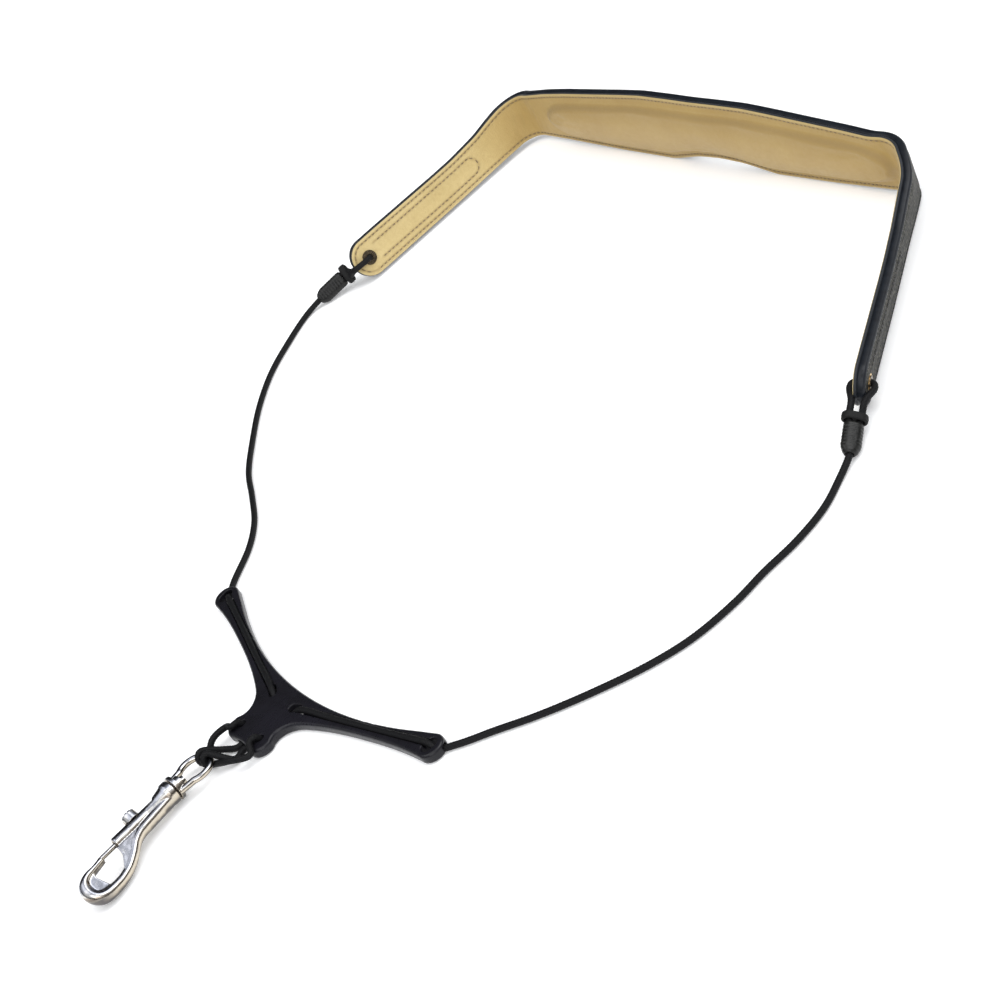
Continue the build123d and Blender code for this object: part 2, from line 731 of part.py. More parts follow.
def hook_loop(side):
    """Cord from the plate's back, round the eye and back over its front."""
    sign = -1 if side == "left" else 1
    bow = SNAP_ORIGIN + SNAP_AXIS * (EYE_TOP_P + 0.24) + level_side * (sign * LOOP_SPACING)
    wrap = EYE_WIRE_RADIUS + CORD_RADIUS + 0.25
    turns = [radians(angle) for angle in (-90, -60, -30, 0, 30, 60, 90)]
    around = [bow + SNAP_AXIS * (wrap * cos(t)) + snap_up * (wrap * sin(t)) for t in turns]
    below = Vector(sign * BACK_EXIT[0], BACK_EXIT[1], BACK_RUN_Z)
    above = Vector(sign * ear_x, ear_y - 3.0, PLATE_THICKNESS + 1.55)
    start = below + (around[0] - below).normalized() * SECTION_GAP
    end = above + (around[-1] - above).normalized() * (SECTION_GAP + 0.5)
    return jointed_cord([start] + around + [end], CORD_RADIUS)


with BuildPart() as left_hook_loop:
    add(hook_loop("left"))
left_hook_loop.part.label = "left_hook_loop"

with BuildPart() as right_hook_loop:
    add(hook_loop("right"))
right_hook_loop.part.label = "right_hook_loop"


# ------------------------------------------------------------- swivel eye
EYE_LEG_P = EYE_RING_P + (EYE_RING_RADIUS ** 2 - EYE_SHOULDER ** 2) ** 0.5

with BuildPart() as swivel_eye:
    with BuildLine(eye_plane) as bow:
        ThreePointArc((EYE_LEG_P, -EYE_SHOULDER), (EYE_TOP_P, 0), (EYE_LEG_P, EYE_SHOULDER))
    with BuildSketch(bow.line ^ 0):
        Circle(EYE_WIRE_RADIUS)
    sweep(path=bow.line)
    for sign in (-1, 1):
        knee = SNAP_ORIGIN + SNAP_AXIS * EYE_LEG_P + level_side * (sign * EYE_SHOULDER)
        with Locations(knee):
            Sphere(EYE_WIRE_RADIUS)
        foot_p, foot_spread = EYE_FOOT
        foot = SNAP_ORIGIN + SNAP_AXIS * foot_p + level_side * (sign * foot_spread)
        with BuildSketch(Plane(origin=knee, z_dir=foot - knee)):
            Circle(EYE_WIRE_RADIUS)
        extrude(amount=(foot - knee).length)
        with Locations(foot):
            Sphere(EYE_WIRE_RADIUS)
    with BuildSketch(across_axis(EYE_BOSS_SPAN[0])):
        Circle(EYE_DRUM_RADIUS)
    extrude(amount=EYE_BOSS_SPAN[1] - EYE_BOSS_SPAN[0])
    with BuildSketch(across_axis(EYE_DISC_P)):
        Circle(EYE_DISC_RADIUS)
    extrude(amount=EYE_BOSS_SPAN[1] - EYE_DISC_P)
    with BuildSketch(across_axis(EYE_BOSS_SPAN[0] - 1)):
        Circle(RIVET_RADIUS + RIVET_RUNNING_GAP)
    extrude(amount=EYE_BOSS_SPAN[1] - EYE_BOSS_SPAN[0] + 2, mode=Mode.SUBTRACT)
swivel_eye.part.label = "swivel_eye"

with BuildPart() as swivel_rivet:
    with BuildSketch(across_axis(EYE_BOSS_SPAN[0] - 0.05)):
        Circle(RIVET_HEAD_RADIUS)
    extrude(amount=-RIVET_HEAD_HEIGHT, taper=18)
    with BuildSketch(across_axis(EYE_BOSS_SPAN[0] - 0.05)):
        Circle(RIVET_RADIUS)
    extrude(amount=-EYE_BOSS_SPAN[0] + 3.0)
swivel_rivet.part.label = "swivel_rivet"


# --------------------------------------------------------------- snap body
SPINE_POINTS = [(1.2, 2.1), (3.6, 2.2), (6.0, 2.35), (8.4, 2.5), (11.0, 2.7), (14.0, 2.95), (17.0, 3.3),
                (20.0, 4.3), (25.5, 8.0), (31.7, 10.9), (38.0, 11.6), (42.7, 10.6), (44.6, 7.0),
                (43.3, 3.2), (39.4, 1.5), (PRONG_TOP_P, 0.5)]
# half thickness in the snap's plane, half width across it, at each spine point
SPINE_SECTIONS = [(2.3, 3.2), (2.3, 3.1), (2.3, 3.05), (2.3, 2.95), (2.3, 2.85), (2.2, 2.75), (2.05, 2.6),
                  (1.9, 2.4), (1.9, 2.2), (1.9, 2.3), (2.2, 2.6), (2.3, 3.0), (2.4, 3.2),
                  (2.1, 3.0), (1.6, 2.5), (1.3, 1.9)]
NOSE_WEB = [(38.4, 1.8), (39.0, 4.6), (37.8, 9.6), (42.7, 10.6), (44.6, 7.0), (43.3, 3.2)]
ROOT_WEB = [(14.0, 2.0), (26.9, 2.0), (27.6, 5.4), (30.8, 9.6), (25.5, 8.0), (20.0, 4.3)]
WEBS = [(NOSE_WEB, 3.4), (ROOT_WEB, 4.2)]      # outline and thickness


def spine_direction(i):
    """Direction along the spine at point i."""
    p0, q0 = SPINE_POINTS[max(i - 1, 0)]
    p1, q1 = SPINE_POINTS[min(i + 1, len(SPINE_POINTS) - 1)]
    return (SNAP_AXIS * (p1 - p0) + spine_side * (q1 - q0)).normalized()


def spine_sections():
    """Oval sections along the spine, round the nose and up the prong."""
    ovals = []
    for i, ((p, q), (half_depth, half_width)) in enumerate(zip(SPINE_POINTS, SPINE_SECTIONS)):
        direction = spine_direction(i)
        if i == len(SPINE_POINTS) - 1:
            direction = SNAP_AXIS * -1
        with BuildSketch(Plane(origin=snap_point(p, q), x_dir=snap_normal,
                               z_dir=direction)) as oval:
            Ellipse(half_width, half_depth)
        ovals.append(oval.sketch)
    return ovals


thumb_plane = Plane(origin=snap_point(THUMB_P), x_dir=SNAP_AXIS, z_dir=spine_side * -1)


def thumb_track():
    """Room in the barrel's flare for the thumb piece's travel."""
    with BuildPart() as track:
        with BuildSketch(thumb_plane.offset(THUMB_SADDLE - 0.3)):
            with Locations((-PLUNGER_TRAVEL / 2, 0)):
                SlotCenterToCenter(PLUNGER_TRAVEL, 2 * THUMB_RADIUS + 0.6)
        extrude(amount=COLLAR_RADIUS)
        with BuildSketch(across_axis(0)):
            Circle(BARREL_RADIUS)
        extrude(amount=BARREL_END_P, mode=Mode.SUBTRACT)
    return track.part


with BuildPart() as snap_body:
    loft(spine_sections())
    for web, thickness in WEBS:
        with BuildSketch(snap_plane):
            Polygon(*web, align=None)
        extrude(amount=thickness / 2, both=True)
    with BuildSketch(snap_plane):
        with BuildLine():
            Polyline((-1.0, 0), (-1.0, COLLAR_RADIUS - 0.5), (-0.5, COLLAR_RADIUS),
                     (1.6, COLLAR_RADIUS), (2.6, COLLAR_RADIUS - 0.6), (6.5, BARREL_RADIUS + 0.5),
                     (11.0, BARREL_RADIUS), (BARREL_END_P - 0.4, BARREL_RADIUS),
                     (BARREL_END_P, BARREL_RADIUS - 0.4), (BARREL_END_P, 0), close=True)
        make_face()
    revolve(axis=snap_axis_line)
    with BuildSketch(across_axis(BORE_START_P)):
        Circle(BORE_RADIUS)
    extrude(amount=BARREL_END_P - BORE_START_P + 1.5, mode=Mode.SUBTRACT)
    with BuildSketch(across_axis(-2.0)):
        Circle(RIVET_RADIUS)
    extrude(amount=5.0 - 0.05, mode=Mode.SUBTRACT)
    with BuildSketch(thumb_plane):
        with Locations((-PLUNGER_TRAVEL / 2, 0)):
            SlotCenterToCenter(PLUNGER_TRAVEL + 0.2, 2 * THUMB_STEM + 0.15)
    extrude(amount=BARREL_RADIUS + 1, mode=Mode.SUBTRACT)
    add(thumb_track(), mode=Mode.SUBTRACT)
snap_body.part.label = "snap_body"

with BuildPart() as plunger:
    with BuildSketch(across_axis(PISTON_SPAN[0])):
        Circle(PISTON_RADIUS)
    extrude(amount=PISTON_SPAN[1] - PISTON_SPAN[0])
    with BuildSketch(across_axis(PISTON_SPAN[1])):
        Circle(ROD_RADIUS)
    extrude(amount=ROD_END_P - PISTON_SPAN[1])
    with BuildSketch(thumb_plane.offset(0.2)):
        Circle(THUMB_STEM)
    extrude(amount=3.0, mode=Mode.SUBTRACT)
plunger.part.label = "plunger"

with BuildPart() as thumb_piece:
    with BuildSketch(thumb_plane.offset(THUMB_SADDLE)):
        Circle(THUMB_RADIUS)
    extrude(amount=THUMB_REACH - THUMB_SADDLE)
    grip = thumb_piece.faces().sort_by(Axis(SNAP_ORIGIN, spine_side))[0]
    fillet(grip.edges(), THUMB_CORNER)
    for step in (-1, 0, 1):
        with BuildSketch(thumb_plane.offset(THUMB_REACH - THUMB_GROOVE)):
            with Locations((step * THUMB_GROOVE_PITCH, 0)):
                Rectangle(THUMB_GROOVE, 2 * THUMB_RADIUS)
        extrude(amount=2 * THUMB_GROOVE, mode=Mode.SUBTRACT)
    with BuildSketch(across_axis(0)):
        Circle(BARREL_RADIUS + THUMB_CLEARANCE)
        Circle(BARREL_RADIUS - 1.3, mode=Mode.SUBTRACT)
    extrude(amount=BARREL_END_P, mode=Mode.SUBTRACT)
    with BuildSketch(thumb_plane.offset(0.22)):
        Circle(THUMB_STEM - 0.02)
    extrude(amount=BARREL_RADIUS + 0.4)
thumb_piece.part.label = "thumb_piece"

SPRING_START_P = BORE_START_P + SPRING_WIRE + 0.05
SPRING_END_P = PISTON_SPAN[0] - SPRING_WIRE - 0.05

with BuildPart() as plunger_spring:
    with BuildLine() as coil:
        Helix((SPRING_END_P - SPRING_START_P) / SPRING_TURNS, SPRING_END_P - SPRING_START_P,
              SPRING_RADIUS, center=snap_point(SPRING_START_P), direction=SNAP_AXIS)
    with BuildSketch(coil.line ^ 0):
        Circle(SPRING_WIRE)
    sweep(path=coil.line, is_frenet=True)
plunger_spring.part.label = "plunger_spring"


# ------------------------------------------------------------------- output
PIECES = [outer_leather, foam_core, lining_leather, left_tail_reinforcement,
          right_tail_reinforcement, inner_edge_thread, outer_edge_thread,
          left_inner_channel_thread, left_outer_channel_thread, right_inner_channel_thread,
          right_outer_channel_thread, left_eyelet, right_eyelet, left_eyelet_washer,
          right_eyelet_washer, left_end_loop, right_end_loop, left_keeper, right_keeper,
          left_sleeve, right_sleeve, left_cord, right_cord, yoke_plate, left_arm_cord,
          right_arm_cord, left_end_knot, right_end_knot, left_hook_loop, right_hook_loop,
          swivel_eye, swivel_rivet, snap_body, plunger, thumb_piece, plunger_spring]

for piece in PIECES:
    export_step(piece.part, f"parts/{piece.part.label}.step")
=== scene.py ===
"""Looks of the saxophone neck strap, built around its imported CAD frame.

Lengths are in millimetres until a mesh is made, in the CAD's own frame: the table
is z = 0, the origin is the centre of the plate's flat back, and +Y runs from the
snap towards the neck band.
"""
import math
import random

import bmesh
import bpy
import numpy as np
from mathutils import Matrix, Vector


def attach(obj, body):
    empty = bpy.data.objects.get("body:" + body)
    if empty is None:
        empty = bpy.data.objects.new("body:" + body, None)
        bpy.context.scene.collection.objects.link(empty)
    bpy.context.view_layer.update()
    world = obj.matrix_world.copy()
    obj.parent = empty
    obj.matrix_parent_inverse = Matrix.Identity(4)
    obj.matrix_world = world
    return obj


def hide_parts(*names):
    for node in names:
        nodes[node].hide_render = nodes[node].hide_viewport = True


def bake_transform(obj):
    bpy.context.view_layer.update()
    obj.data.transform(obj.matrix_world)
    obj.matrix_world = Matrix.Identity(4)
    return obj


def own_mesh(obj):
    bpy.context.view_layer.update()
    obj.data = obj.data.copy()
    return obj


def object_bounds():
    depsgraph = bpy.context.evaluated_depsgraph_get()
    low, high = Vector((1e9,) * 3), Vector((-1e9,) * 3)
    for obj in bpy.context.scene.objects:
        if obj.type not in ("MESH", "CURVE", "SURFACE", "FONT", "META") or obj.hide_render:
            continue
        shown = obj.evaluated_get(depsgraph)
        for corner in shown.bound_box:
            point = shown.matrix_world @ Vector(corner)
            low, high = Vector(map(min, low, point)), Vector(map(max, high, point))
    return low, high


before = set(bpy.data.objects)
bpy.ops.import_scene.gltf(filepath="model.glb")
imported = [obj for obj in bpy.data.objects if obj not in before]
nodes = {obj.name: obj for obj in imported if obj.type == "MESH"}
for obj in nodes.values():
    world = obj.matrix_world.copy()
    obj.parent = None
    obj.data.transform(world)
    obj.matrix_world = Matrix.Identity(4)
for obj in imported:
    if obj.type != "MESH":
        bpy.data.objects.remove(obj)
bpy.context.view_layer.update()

MM = 0.001

# ---------------------------------------------------------------- neck band
BAND_PLAN = [(-192.9, 161.5), (-189.6, 259.7), (41.4, 283.1), (110.8, 189.9)]
BEND_RADIUS = 10.0
TAIL_LEAN = math.radians(21.0)
LEAN_BLEND = 30.0            # length over which the lean grows, from this far before a bend:
LEAN_LEAD = 10.0
BAND_STEP = 0.25
OUTER_LEATHER = 2.8
LINING_BASE = 1.3            # depth of the lining and its infill at the borders
BAND_WIDTHS = [(0, 28.2), (14, 29.2), (31, 32.4), (45, 31.2), (65, 29.2), (85, 26.8),
               (100, 24.6), (115, 22.0), (130, 18.6), (145, 16.0), (160, 15.2),
               (205, 15.8), (400, 16.0)]
BAND_LIFTS = [(0, 4.0), (14, 3.2), (31, 0.0), (65, 0.4), (100, 1.6), (130, 2.0),
              (170, 1.2), (400, 0.4)]
FOAM_DEPTH = 3.2
FOAM_HALF_LENGTH = 104.0
PAD_LOWER_INSET = 3.0        # outline of the cushion under the lining
PAD_UPPER_INSET = 4.0
PAD_CORNER = 9.0
PAD_OVERRUN = 4.0            # the cushion's end runs out this far past the foam
PAD_END_SLOPE = 2.2          # its ends rise this much slower than its sides
PAD_SHOULDER = 3.4           # width of the steep rise round the cushion
PAD_SHOULDER_SHARE = 0.82    # share of the height won there
SEAM_INSET = 1.6
SEAM_GROOVE = 0.26           # depth of the groove a seam pulls into the leather
SEAM_HALF_WIDTH = 0.38
LINING_PUFF = 0.16           # swelling between an edge and its seam
OUTER_PUFF = 0.15
OUTER_BELLY = 0.35           # swelling of the whole outer face
CREASE_DEPTH = 0.13
CREASE_SPREADS = (13.0, 9.0)         # at the left and right bends
CHANNEL_HALF_WIDTH = 3.6     # sewn channel on each tail
CHANNEL_RISES = {"lining": 0.22, "outer": 0.25}
CHANNEL_DENTS = {"lining": 0.22, "outer": 0.16}
CHANNEL_END = 69.5
CHANNEL_START = 12.5
EYELET_INSET = 7.5
EYELET_HOLE = 1.9
STITCH_PITCH = 2.2
STITCH_LENGTH = 1.5
STITCH_RADIUS = 0.22
STITCH_JITTER = 0.08
STITCH_SLANT = 0.1
STITCH_RINGS = 7
STITCH_SIDES = 6
LINING_RIM = 0.5
OUTER_OVERHANG = 0.7         # the outer leather's upper edge past the lining, on the left tail
OVERHANG_WIDTH = 1.5
OVERHANG_END = (82.0, 112.0)
TAIL_TONE_END = 62.0         # the lining grows darker from here to the middle
MIDDLE_TONE_START = 104.0
TIP_LENGTH = 8.0             # the rounded ends have closer rows of points
EYELET_SIDES = 48
CUT_DEPTH = 6.0

# The lining is blown up over the foam as a sheet of cloth pinned at its border
SHEET_ROWS, SHEET_COLUMNS = 106, 17
SHEET_INSET = 2.4
SHEET_SINK = 0.35
SHEET_PRESSURE = -8.0        # its normals face the foam
SHEET_FRAMES = 20
SHEET_MOVES = (-0.2, 1.2)    # least and most the face is taken to move

# Foam core under the lining
FOAM_INSET = 4.6
FOAM_MARGINS = 9.8
FOAM_COVER = 0.95            # lining and clearance over the foam
OUTER_RIM = 0.9              # rounding of the folded outer edge

# ------------------------------------------------------------------- cords
CORD_RADIUS = 1.25
BRAID_RELIEF = 0.13
BRAID_PLAITS = 7
BRAID_PITCH = 1.15
CORD_SIDES = 28
CORD_STEP = 0.26
LOOP_REACH = 8.7             # where an end loop turns past the tail, from the eyelet
LOOP_DEPTHS = {1: 1.5, -1: 3.0}      # cord centre over each face there
LOOP_TURNS = {1: 3.2, -1: 5.1}       # cord centre over each face at the eyelet
STRAND_SPACING = 1.3
STRAND_DEPTH = 8.0
KEEPER_SET_BACK = 2.3
SLEEVE_ROLLS = {"left": math.radians(-70.0), "right": math.radians(-20.0)}
KEEPER_SPREAD = 1.95
KEEPER_SIDES = 64
KEEPER_BORE = 1.27           # radius round each strand
KEEPER_HALF_WIDTH = 1.5
SLEEVE_SIDES = 40
SLEEVE_OVAL = (3.45, 2.35)   # half axes over two strands
SLEEVE_TIP = (2.2, 2.1)      # half axes over one strand
SLEEVE_WALL = 0.62
SLEEVE_DRAW = (3.4, -0.8)    # where the tube starts and stops drawing in, from its end
SLEEVE_RIB = 0.05
SLEEVE_RIB_PITCH = 1.3
SLEEVE_LIP = 0.35
SLEEVES = {"left": ((-203.2, 157.0, 5.8), (-208.6, 144.6, 2.7)),
           "right": ((118.0, 184.0, 5.3), (124.4, 174.6, 2.7))}
LYING = {"left": [(-209.2, 136.1), (-202.0, 121.4), (-192.3, 105.9), (-177.8, 90.6),
                  (-160.2, 76.5), (-141.6, 63.5), (-126.0, 56.3), (-109.1, 47.7),
                  (-97.6, 38.2)],
         "right": [(127.6, 166.2), (132.8, 154.2), (134.9, 140.0), (134.5, 125.3),
                   (135.0, 112.0), (132.9, 95.0), (127.6, 81.0), (117.7, 64.0),
                   (105.4, 46.6), (95.0, 34.4)]}
TIP_EXIT = (86.4, 23.9)
TIP_SLOT = (80.3, 18.6)
ARM_FOOT = (9.2, 0.4)        # a point of the cord's run along an arm, and the run's slope
ARM_SLOPE = math.tan(math.radians(14.4))
ARM_STATIONS = (77.4, 60.0, 30.0, 11.4)
BACK_RUN = [(7.4, -1.6), (4.6, -11.5)]
BACK_EXIT = (1.7, -21.7)
STEM_HOLE = (7.3, -15.2)
CORD_LIE = 1.3
BACK_RUN_Z = 1.35
FRONT_RUN_Z = 3.45
KNOT_BULB = 0.65             # the melted knot stands out this far from the cord
KNOT_ROUTE = [(-3.6, 5.8), (-1.2, 5.7), (0.0, 3.4), (0.0, 0.55)]
LOOP_SLACK = 0.12            # gap between the hook loops and the eye's wire
WRAP_ANGLES = (-80, -40, 0, 40, 80)

# -------------------------------------------------------------------- snap
SNAP_ORIGIN = np.array((-4.2, -49.0, 5.6))
SNAP_AXIS = np.array((0.167, -0.981, 0.10)) / np.linalg.norm((0.167, -0.981, 0.10))
EYE_TOP_P = -17.8
EYE_WIRE_RADIUS = 1.25
LOOP_SPACING = 1.7
FRONT_BOWS = {"left": [(-12.2, -19.5, 4.2), (-11.4, -26.0, 4.9)],
              "right": [(11.3, -21.6, 4.2), (5.4, -28.4, 4.8)]}
BACK_BOWS = {"left": (-6.0, -25.6, 1.9), "right": (3.4, -25.6, 1.9)}
SPRING_SPAN = (4.25, 13.35)
SPRING_RADIUS = 1.1
SPRING_WIRE = 0.2
SPRING_TURNS = 6
SPRING_SIDES = 8
SPRING_CLOSING = 0.35        # share of the closed coils in the spring's pitch

rng = random.Random(7)


# ------------------------------------------------------------ curve helpers
def unit(v):
    """Vectors scaled to length one along the last axis."""
    return v / np.linalg.norm(v, axis=-1, keepdims=True)


def ramp(x, low, high):
    """0 below low, 1 above high and a smooth rise between them."""
    t = np.clip((x - low) / (high - low), 0, 1)
    return t * t * (3 - 2 * t)


def resampled(points, step):
    """The polyline's points at equal spacing close to step."""
    gaps = np.linalg.norm(np.diff(points, axis=0), axis=1)
    along = np.concatenate(([0], np.cumsum(gaps)))
    places = np.linspace(0, along[-1], max(int(along[-1] / step), 4) + 1)
    return np.column_stack([np.interp(places, along, points[:, k]) for k in range(points.shape[1])])


def smooth_line(points, step, soften=0):
    """Curve through the points at equal spacing, its tight turns eased."""
    points = np.array(points, float)
    padded = np.vstack((2 * points[0] - points[1], points, 2 * points[-1] - points[-2]))
    dense = []
    for p0, p1, p2, p3 in zip(padded, padded[1:], padded[2:], padded[3:]):
        knots = [0]
        for a, b in ((p0, p1), (p1, p2), (p2, p3)):
            knots.append(knots[-1] + max(np.linalg.norm(b - a), 1e-6) ** 0.5)
        t = np.linspace(knots[1], knots[2], 40, endpoint=False)[:, None]
        t0, t1, t2, t3 = knots
        a1 = (t1 - t) / (t1 - t0) * p0 + (t - t0) / (t1 - t0) * p1
        a2 = (t2 - t) / (t2 - t1) * p1 + (t - t1) / (t2 - t1) * p2
        a3 = (t3 - t) / (t3 - t2) * p2 + (t - t2) / (t3 - t2) * p3
        b1 = (t2 - t) / (t2 - t0) * a1 + (t - t0) / (t2 - t0) * a2
        b2 = (t3 - t) / (t3 - t1) * a2 + (t - t1) / (t3 - t1) * a3
        dense.append((t2 - t) / (t2 - t1) * b1 + (t - t1) / (t2 - t1) * b2)
    line = resampled(np.vstack(dense + [points[-1:]]), step)
    for _ in range(soften):
        line[1:-1] = (line[:-2] + 2 * line[1:-1] + line[2:]) / 4
    return resampled(line, step)


def carried_frame(line):
    """Tangents along a line with two cross directions that don't twist."""
    tangent = unit(np.gradient(line, axis=0))
    side = np.zeros_like(line)
    start = np.cross(tangent[0], (0, 0, 1))
    side[0] = unit(start if np.linalg.norm(start) > 0.1 else np.cross(tangent[0], (1, 0, 0)))
    for i in range(1, len(line)):
        side[i] = unit(side[i - 1] - tangent[i] * (side[i - 1] @ tangent[i]))
    return tangent, side, np.cross(tangent, side)


def circled(turn, side, up):
    """Unit offsets at the angles of turn round each point of a line."""
    return (np.cos(turn)[None, :, None] * side[:, None]
            + np.sin(turn)[None, :, None] * up[:, None])


def full_turn(count):
    return np.linspace(0, 2 * math.pi, count, endpoint=False)


# ------------------------------------------------------------- mesh helpers
def ring_faces(count, size):
    """Faces of a closed skin over count rings of size points, with end caps."""
    faces = []
    for i in range(count - 1):
        for j in range(size):
            k = (j + 1) % size
            faces.append((i * size + j, i * size + k, (i + 1) * size + k, (i + 1) * size + j))
    faces.append(tuple(range(size)))
    faces.append(tuple(range((count - 1) * size, count * size)))
    return faces


def hoop_faces(count, size):
    """Faces of rings of size points that close into a hoop or a walled tube."""
    last = (count - 1) * size
    faces = ring_faces(count, size)[:-2]
    return faces + [(j, (j + 1) % size, last + (j + 1) % size, last + j) for j in range(size)]


def add_mesh(name, points, faces, material, marks=None):
    """Object with a smooth-shaded closed mesh; points in millimetres."""
    mesh = bpy.data.meshes.new(name)
    mesh.from_pydata((np.asarray(points).reshape(-1, 3) * MM).tolist(), [], faces)
    for key, values in (marks or {}).items():
        mark = mesh.attributes.new(key, "FLOAT", "POINT")
        mark.data.foreach_set("value", np.asarray(values, np.float32).ravel())
    tidy = bmesh.new()
    tidy.from_mesh(mesh)
    bmesh.ops.recalc_face_normals(tidy, faces=tidy.faces)
    tidy.to_mesh(mesh)
    tidy.free()
    mesh.polygons.foreach_set("use_smooth", [True] * len(mesh.polygons))
    mesh.materials.append(material)
    made = bpy.data.objects.new(name, mesh)
    bpy.context.scene.collection.objects.link(made)
    return made


def applied(obj, *modifiers):
    """Gives obj the mesh that its modifiers make, each a (kind, settings) pair."""
    for kind, settings in modifiers:
        modifier = obj.modifiers.new(kind.lower(), kind)
        for key, value in settings.items():
            setattr(modifier, key, value)
    bpy.context.view_layer.update()
    graph = bpy.context.evaluated_depsgraph_get()
    mesh = bpy.data.meshes.new_from_object(obj.evaluated_get(graph))
    obj.modifiers.clear()
    obj.data = mesh
    mesh.polygons.foreach_set("use_smooth", [True] * len(mesh.polygons))


def moulded(node, material, voxel, passes, name, body):
    """CAD node's shape with its sharp edges eased, as cast or moulded."""
    mesh = nodes[node].data.copy()
    mesh.materials.clear()
    made = bpy.data.objects.new(name, mesh)
    bpy.context.scene.collection.objects.link(made)
    weld = bmesh.new()
    weld.from_mesh(mesh)
    bmesh.ops.remove_doubles(weld, verts=weld.verts, dist=1e-7)
    weld.to_mesh(mesh)
    weld.free()
    applied(made, ("REMESH", {"mode": "VOXEL", "voxel_size": voxel * MM}),
            ("SMOOTH", {"factor": 0.5, "iterations": passes}))
    made.data.materials.clear()
    made.data.materials.append(material)
    dressed(made, body, node)


def dressed(obj, body, node):
    """Puts obj in a CAD node's place by hiding the node, riding a body if one is given."""
    if body:
        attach(obj, body)
    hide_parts(node)


# --------------------------------------------------------------- materials
class Paint:
    """A procedural material under construction."""

    def __init__(self, name, **principled):
        self.material = bpy.data.materials.new(name)
        self.material.use_nodes = True
        self.tree = self.material.node_tree
        self.shader = self.tree.nodes["Principled BSDF"]
        self.place = self.add("ShaderNodeTexCoord").outputs["Object"]
        self.set(**principled)

    def add(self, kind, settings=None, **inputs):
        made = self.tree.nodes.new(kind)
        for key, value in (settings or {}).items():
            setattr(made, key, value)
        for key, value in inputs.items():
            self.feed(made.inputs[int(key[1:]) if key[0] == "i" and key[1:].isdigit()
                                  else key.replace("_", " ")], value)
        return made

    def feed(self, socket, value):
        if isinstance(value, bpy.types.NodeSocket):
            self.tree.links.new(value, socket)
        else:
            socket.default_value = value

    def set(self, **inputs):
        for key, value in inputs.items():
            self.feed(self.shader.inputs[key.replace("_", " ")], value)

    def noise(self, size, detail=3.0, rough=0.55, stretch=None):
        """Noise between 0 and 1 with features of about size millimetres."""
        place = self.place
        if stretch:
            place = self.add("ShaderNodeMapping", Vector=place, Scale=stretch).outputs["Vector"]
        return self.add("ShaderNodeTexNoise", Vector=place, Scale=1 / (size * MM),
                        Detail=detail, Roughness=rough).outputs["Fac"]

    def cells(self, size, feature="F1"):
        """Distance field of pebbles of about size millimetres."""
        return self.add("ShaderNodeTexVoronoi", {"feature": feature}, Vector=self.place,
                        Scale=1 / (size * MM)).outputs["Distance"]

    def mark(self, name):
        """Value stored on the mesh."""
        return self.add("ShaderNodeAttribute", {"attribute_name": name}).outputs["Fac"]

    def scaled(self, value, low, high, out_low=0.0, out_high=1.0):
        return self.add("ShaderNodeMapRange", i0=value, i1=low, i2=high, i3=out_low,
                        i4=out_high).outputs["Result"]

    def math(self, operation, a, b=0.0):
        return self.add("ShaderNodeMath", {"operation": operation}, i0=a, i1=b).outputs["Value"]

    def mix(self, share, a, b):
        """Colour between a and b."""
        made = self.add("ShaderNodeMix", {"data_type": "RGBA"})
        self.feed(made.inputs[0], share)
        self.feed(made.inputs[6], (*a, 1) if isinstance(a, tuple) else a)
        self.feed(made.inputs[7], (*b, 1) if isinstance(b, tuple) else b)
        return made.outputs[2]

    def bump(self, height, depth, normal=None):
        """Relief of depth millimetres."""
        made = self.add("ShaderNodeBump", Height=height, Distance=depth * MM, Strength=1.0)
        if normal is not None:
            self.feed(made.inputs["Normal"], normal)
        return made.outputs["Normal"]


def colour_stops(colours, table):
    """Sets a fresh colour ramp from a (place, tone) table."""
    stops = colours.elements
    for stop, (place, tone) in zip((stops[0], stops[1]), (table[0], table[-1])):
        stop.position, stop.color = place, (*tone, 1)
    for place, tone in table[1:-1]:
        stops.new(place).color = (*tone, 1)


# Painted edge of the leather, in its darker and lighter places
EDGE_DARK = (0.005, 0.006, 0.0085)
EDGE_LIGHT = (0.011, 0.014, 0.019)


def grained_leather():
    """Black leather: fine pebbles, fine grey speckles, smooth painted edge."""
    paint = Paint("black_grained_leather", Specular_IOR_Level=0.24)
    rim = paint.mark("rim")
    pebbles = paint.cells(1.0)
    cloud = paint.noise(7.0, 4)
    speck = paint.noise(1.1, 3)
    body = paint.mix(paint.scaled(cloud, 0.35, 0.7), (0.022, 0.021, 0.017), (0.046, 0.044, 0.035))
    body = paint.mix(paint.scaled(speck, 0.45, 0.68, 0, 0.7), body, (0.155, 0.147, 0.118))
    body = paint.mix(paint.scaled(pebbles, 0.30, 0.62, 0, 0.85), body, (0.008, 0.008, 0.007))
    edge = paint.mix(paint.scaled(paint.noise(2.5), 0.3, 0.7), EDGE_DARK, EDGE_LIGHT)
    grain = paint.math("MULTIPLY", paint.math("SUBTRACT", 1.0, rim), pebbles)
    normal = paint.bump(paint.noise(0.25, 2), 0.03, paint.bump(grain, -0.30))
    paint.set(Base_Color=paint.mix(rim, body, edge),
              Roughness=paint.scaled(rim, 0, 1, 0.60, 0.36), Normal=normal)
    return paint.material


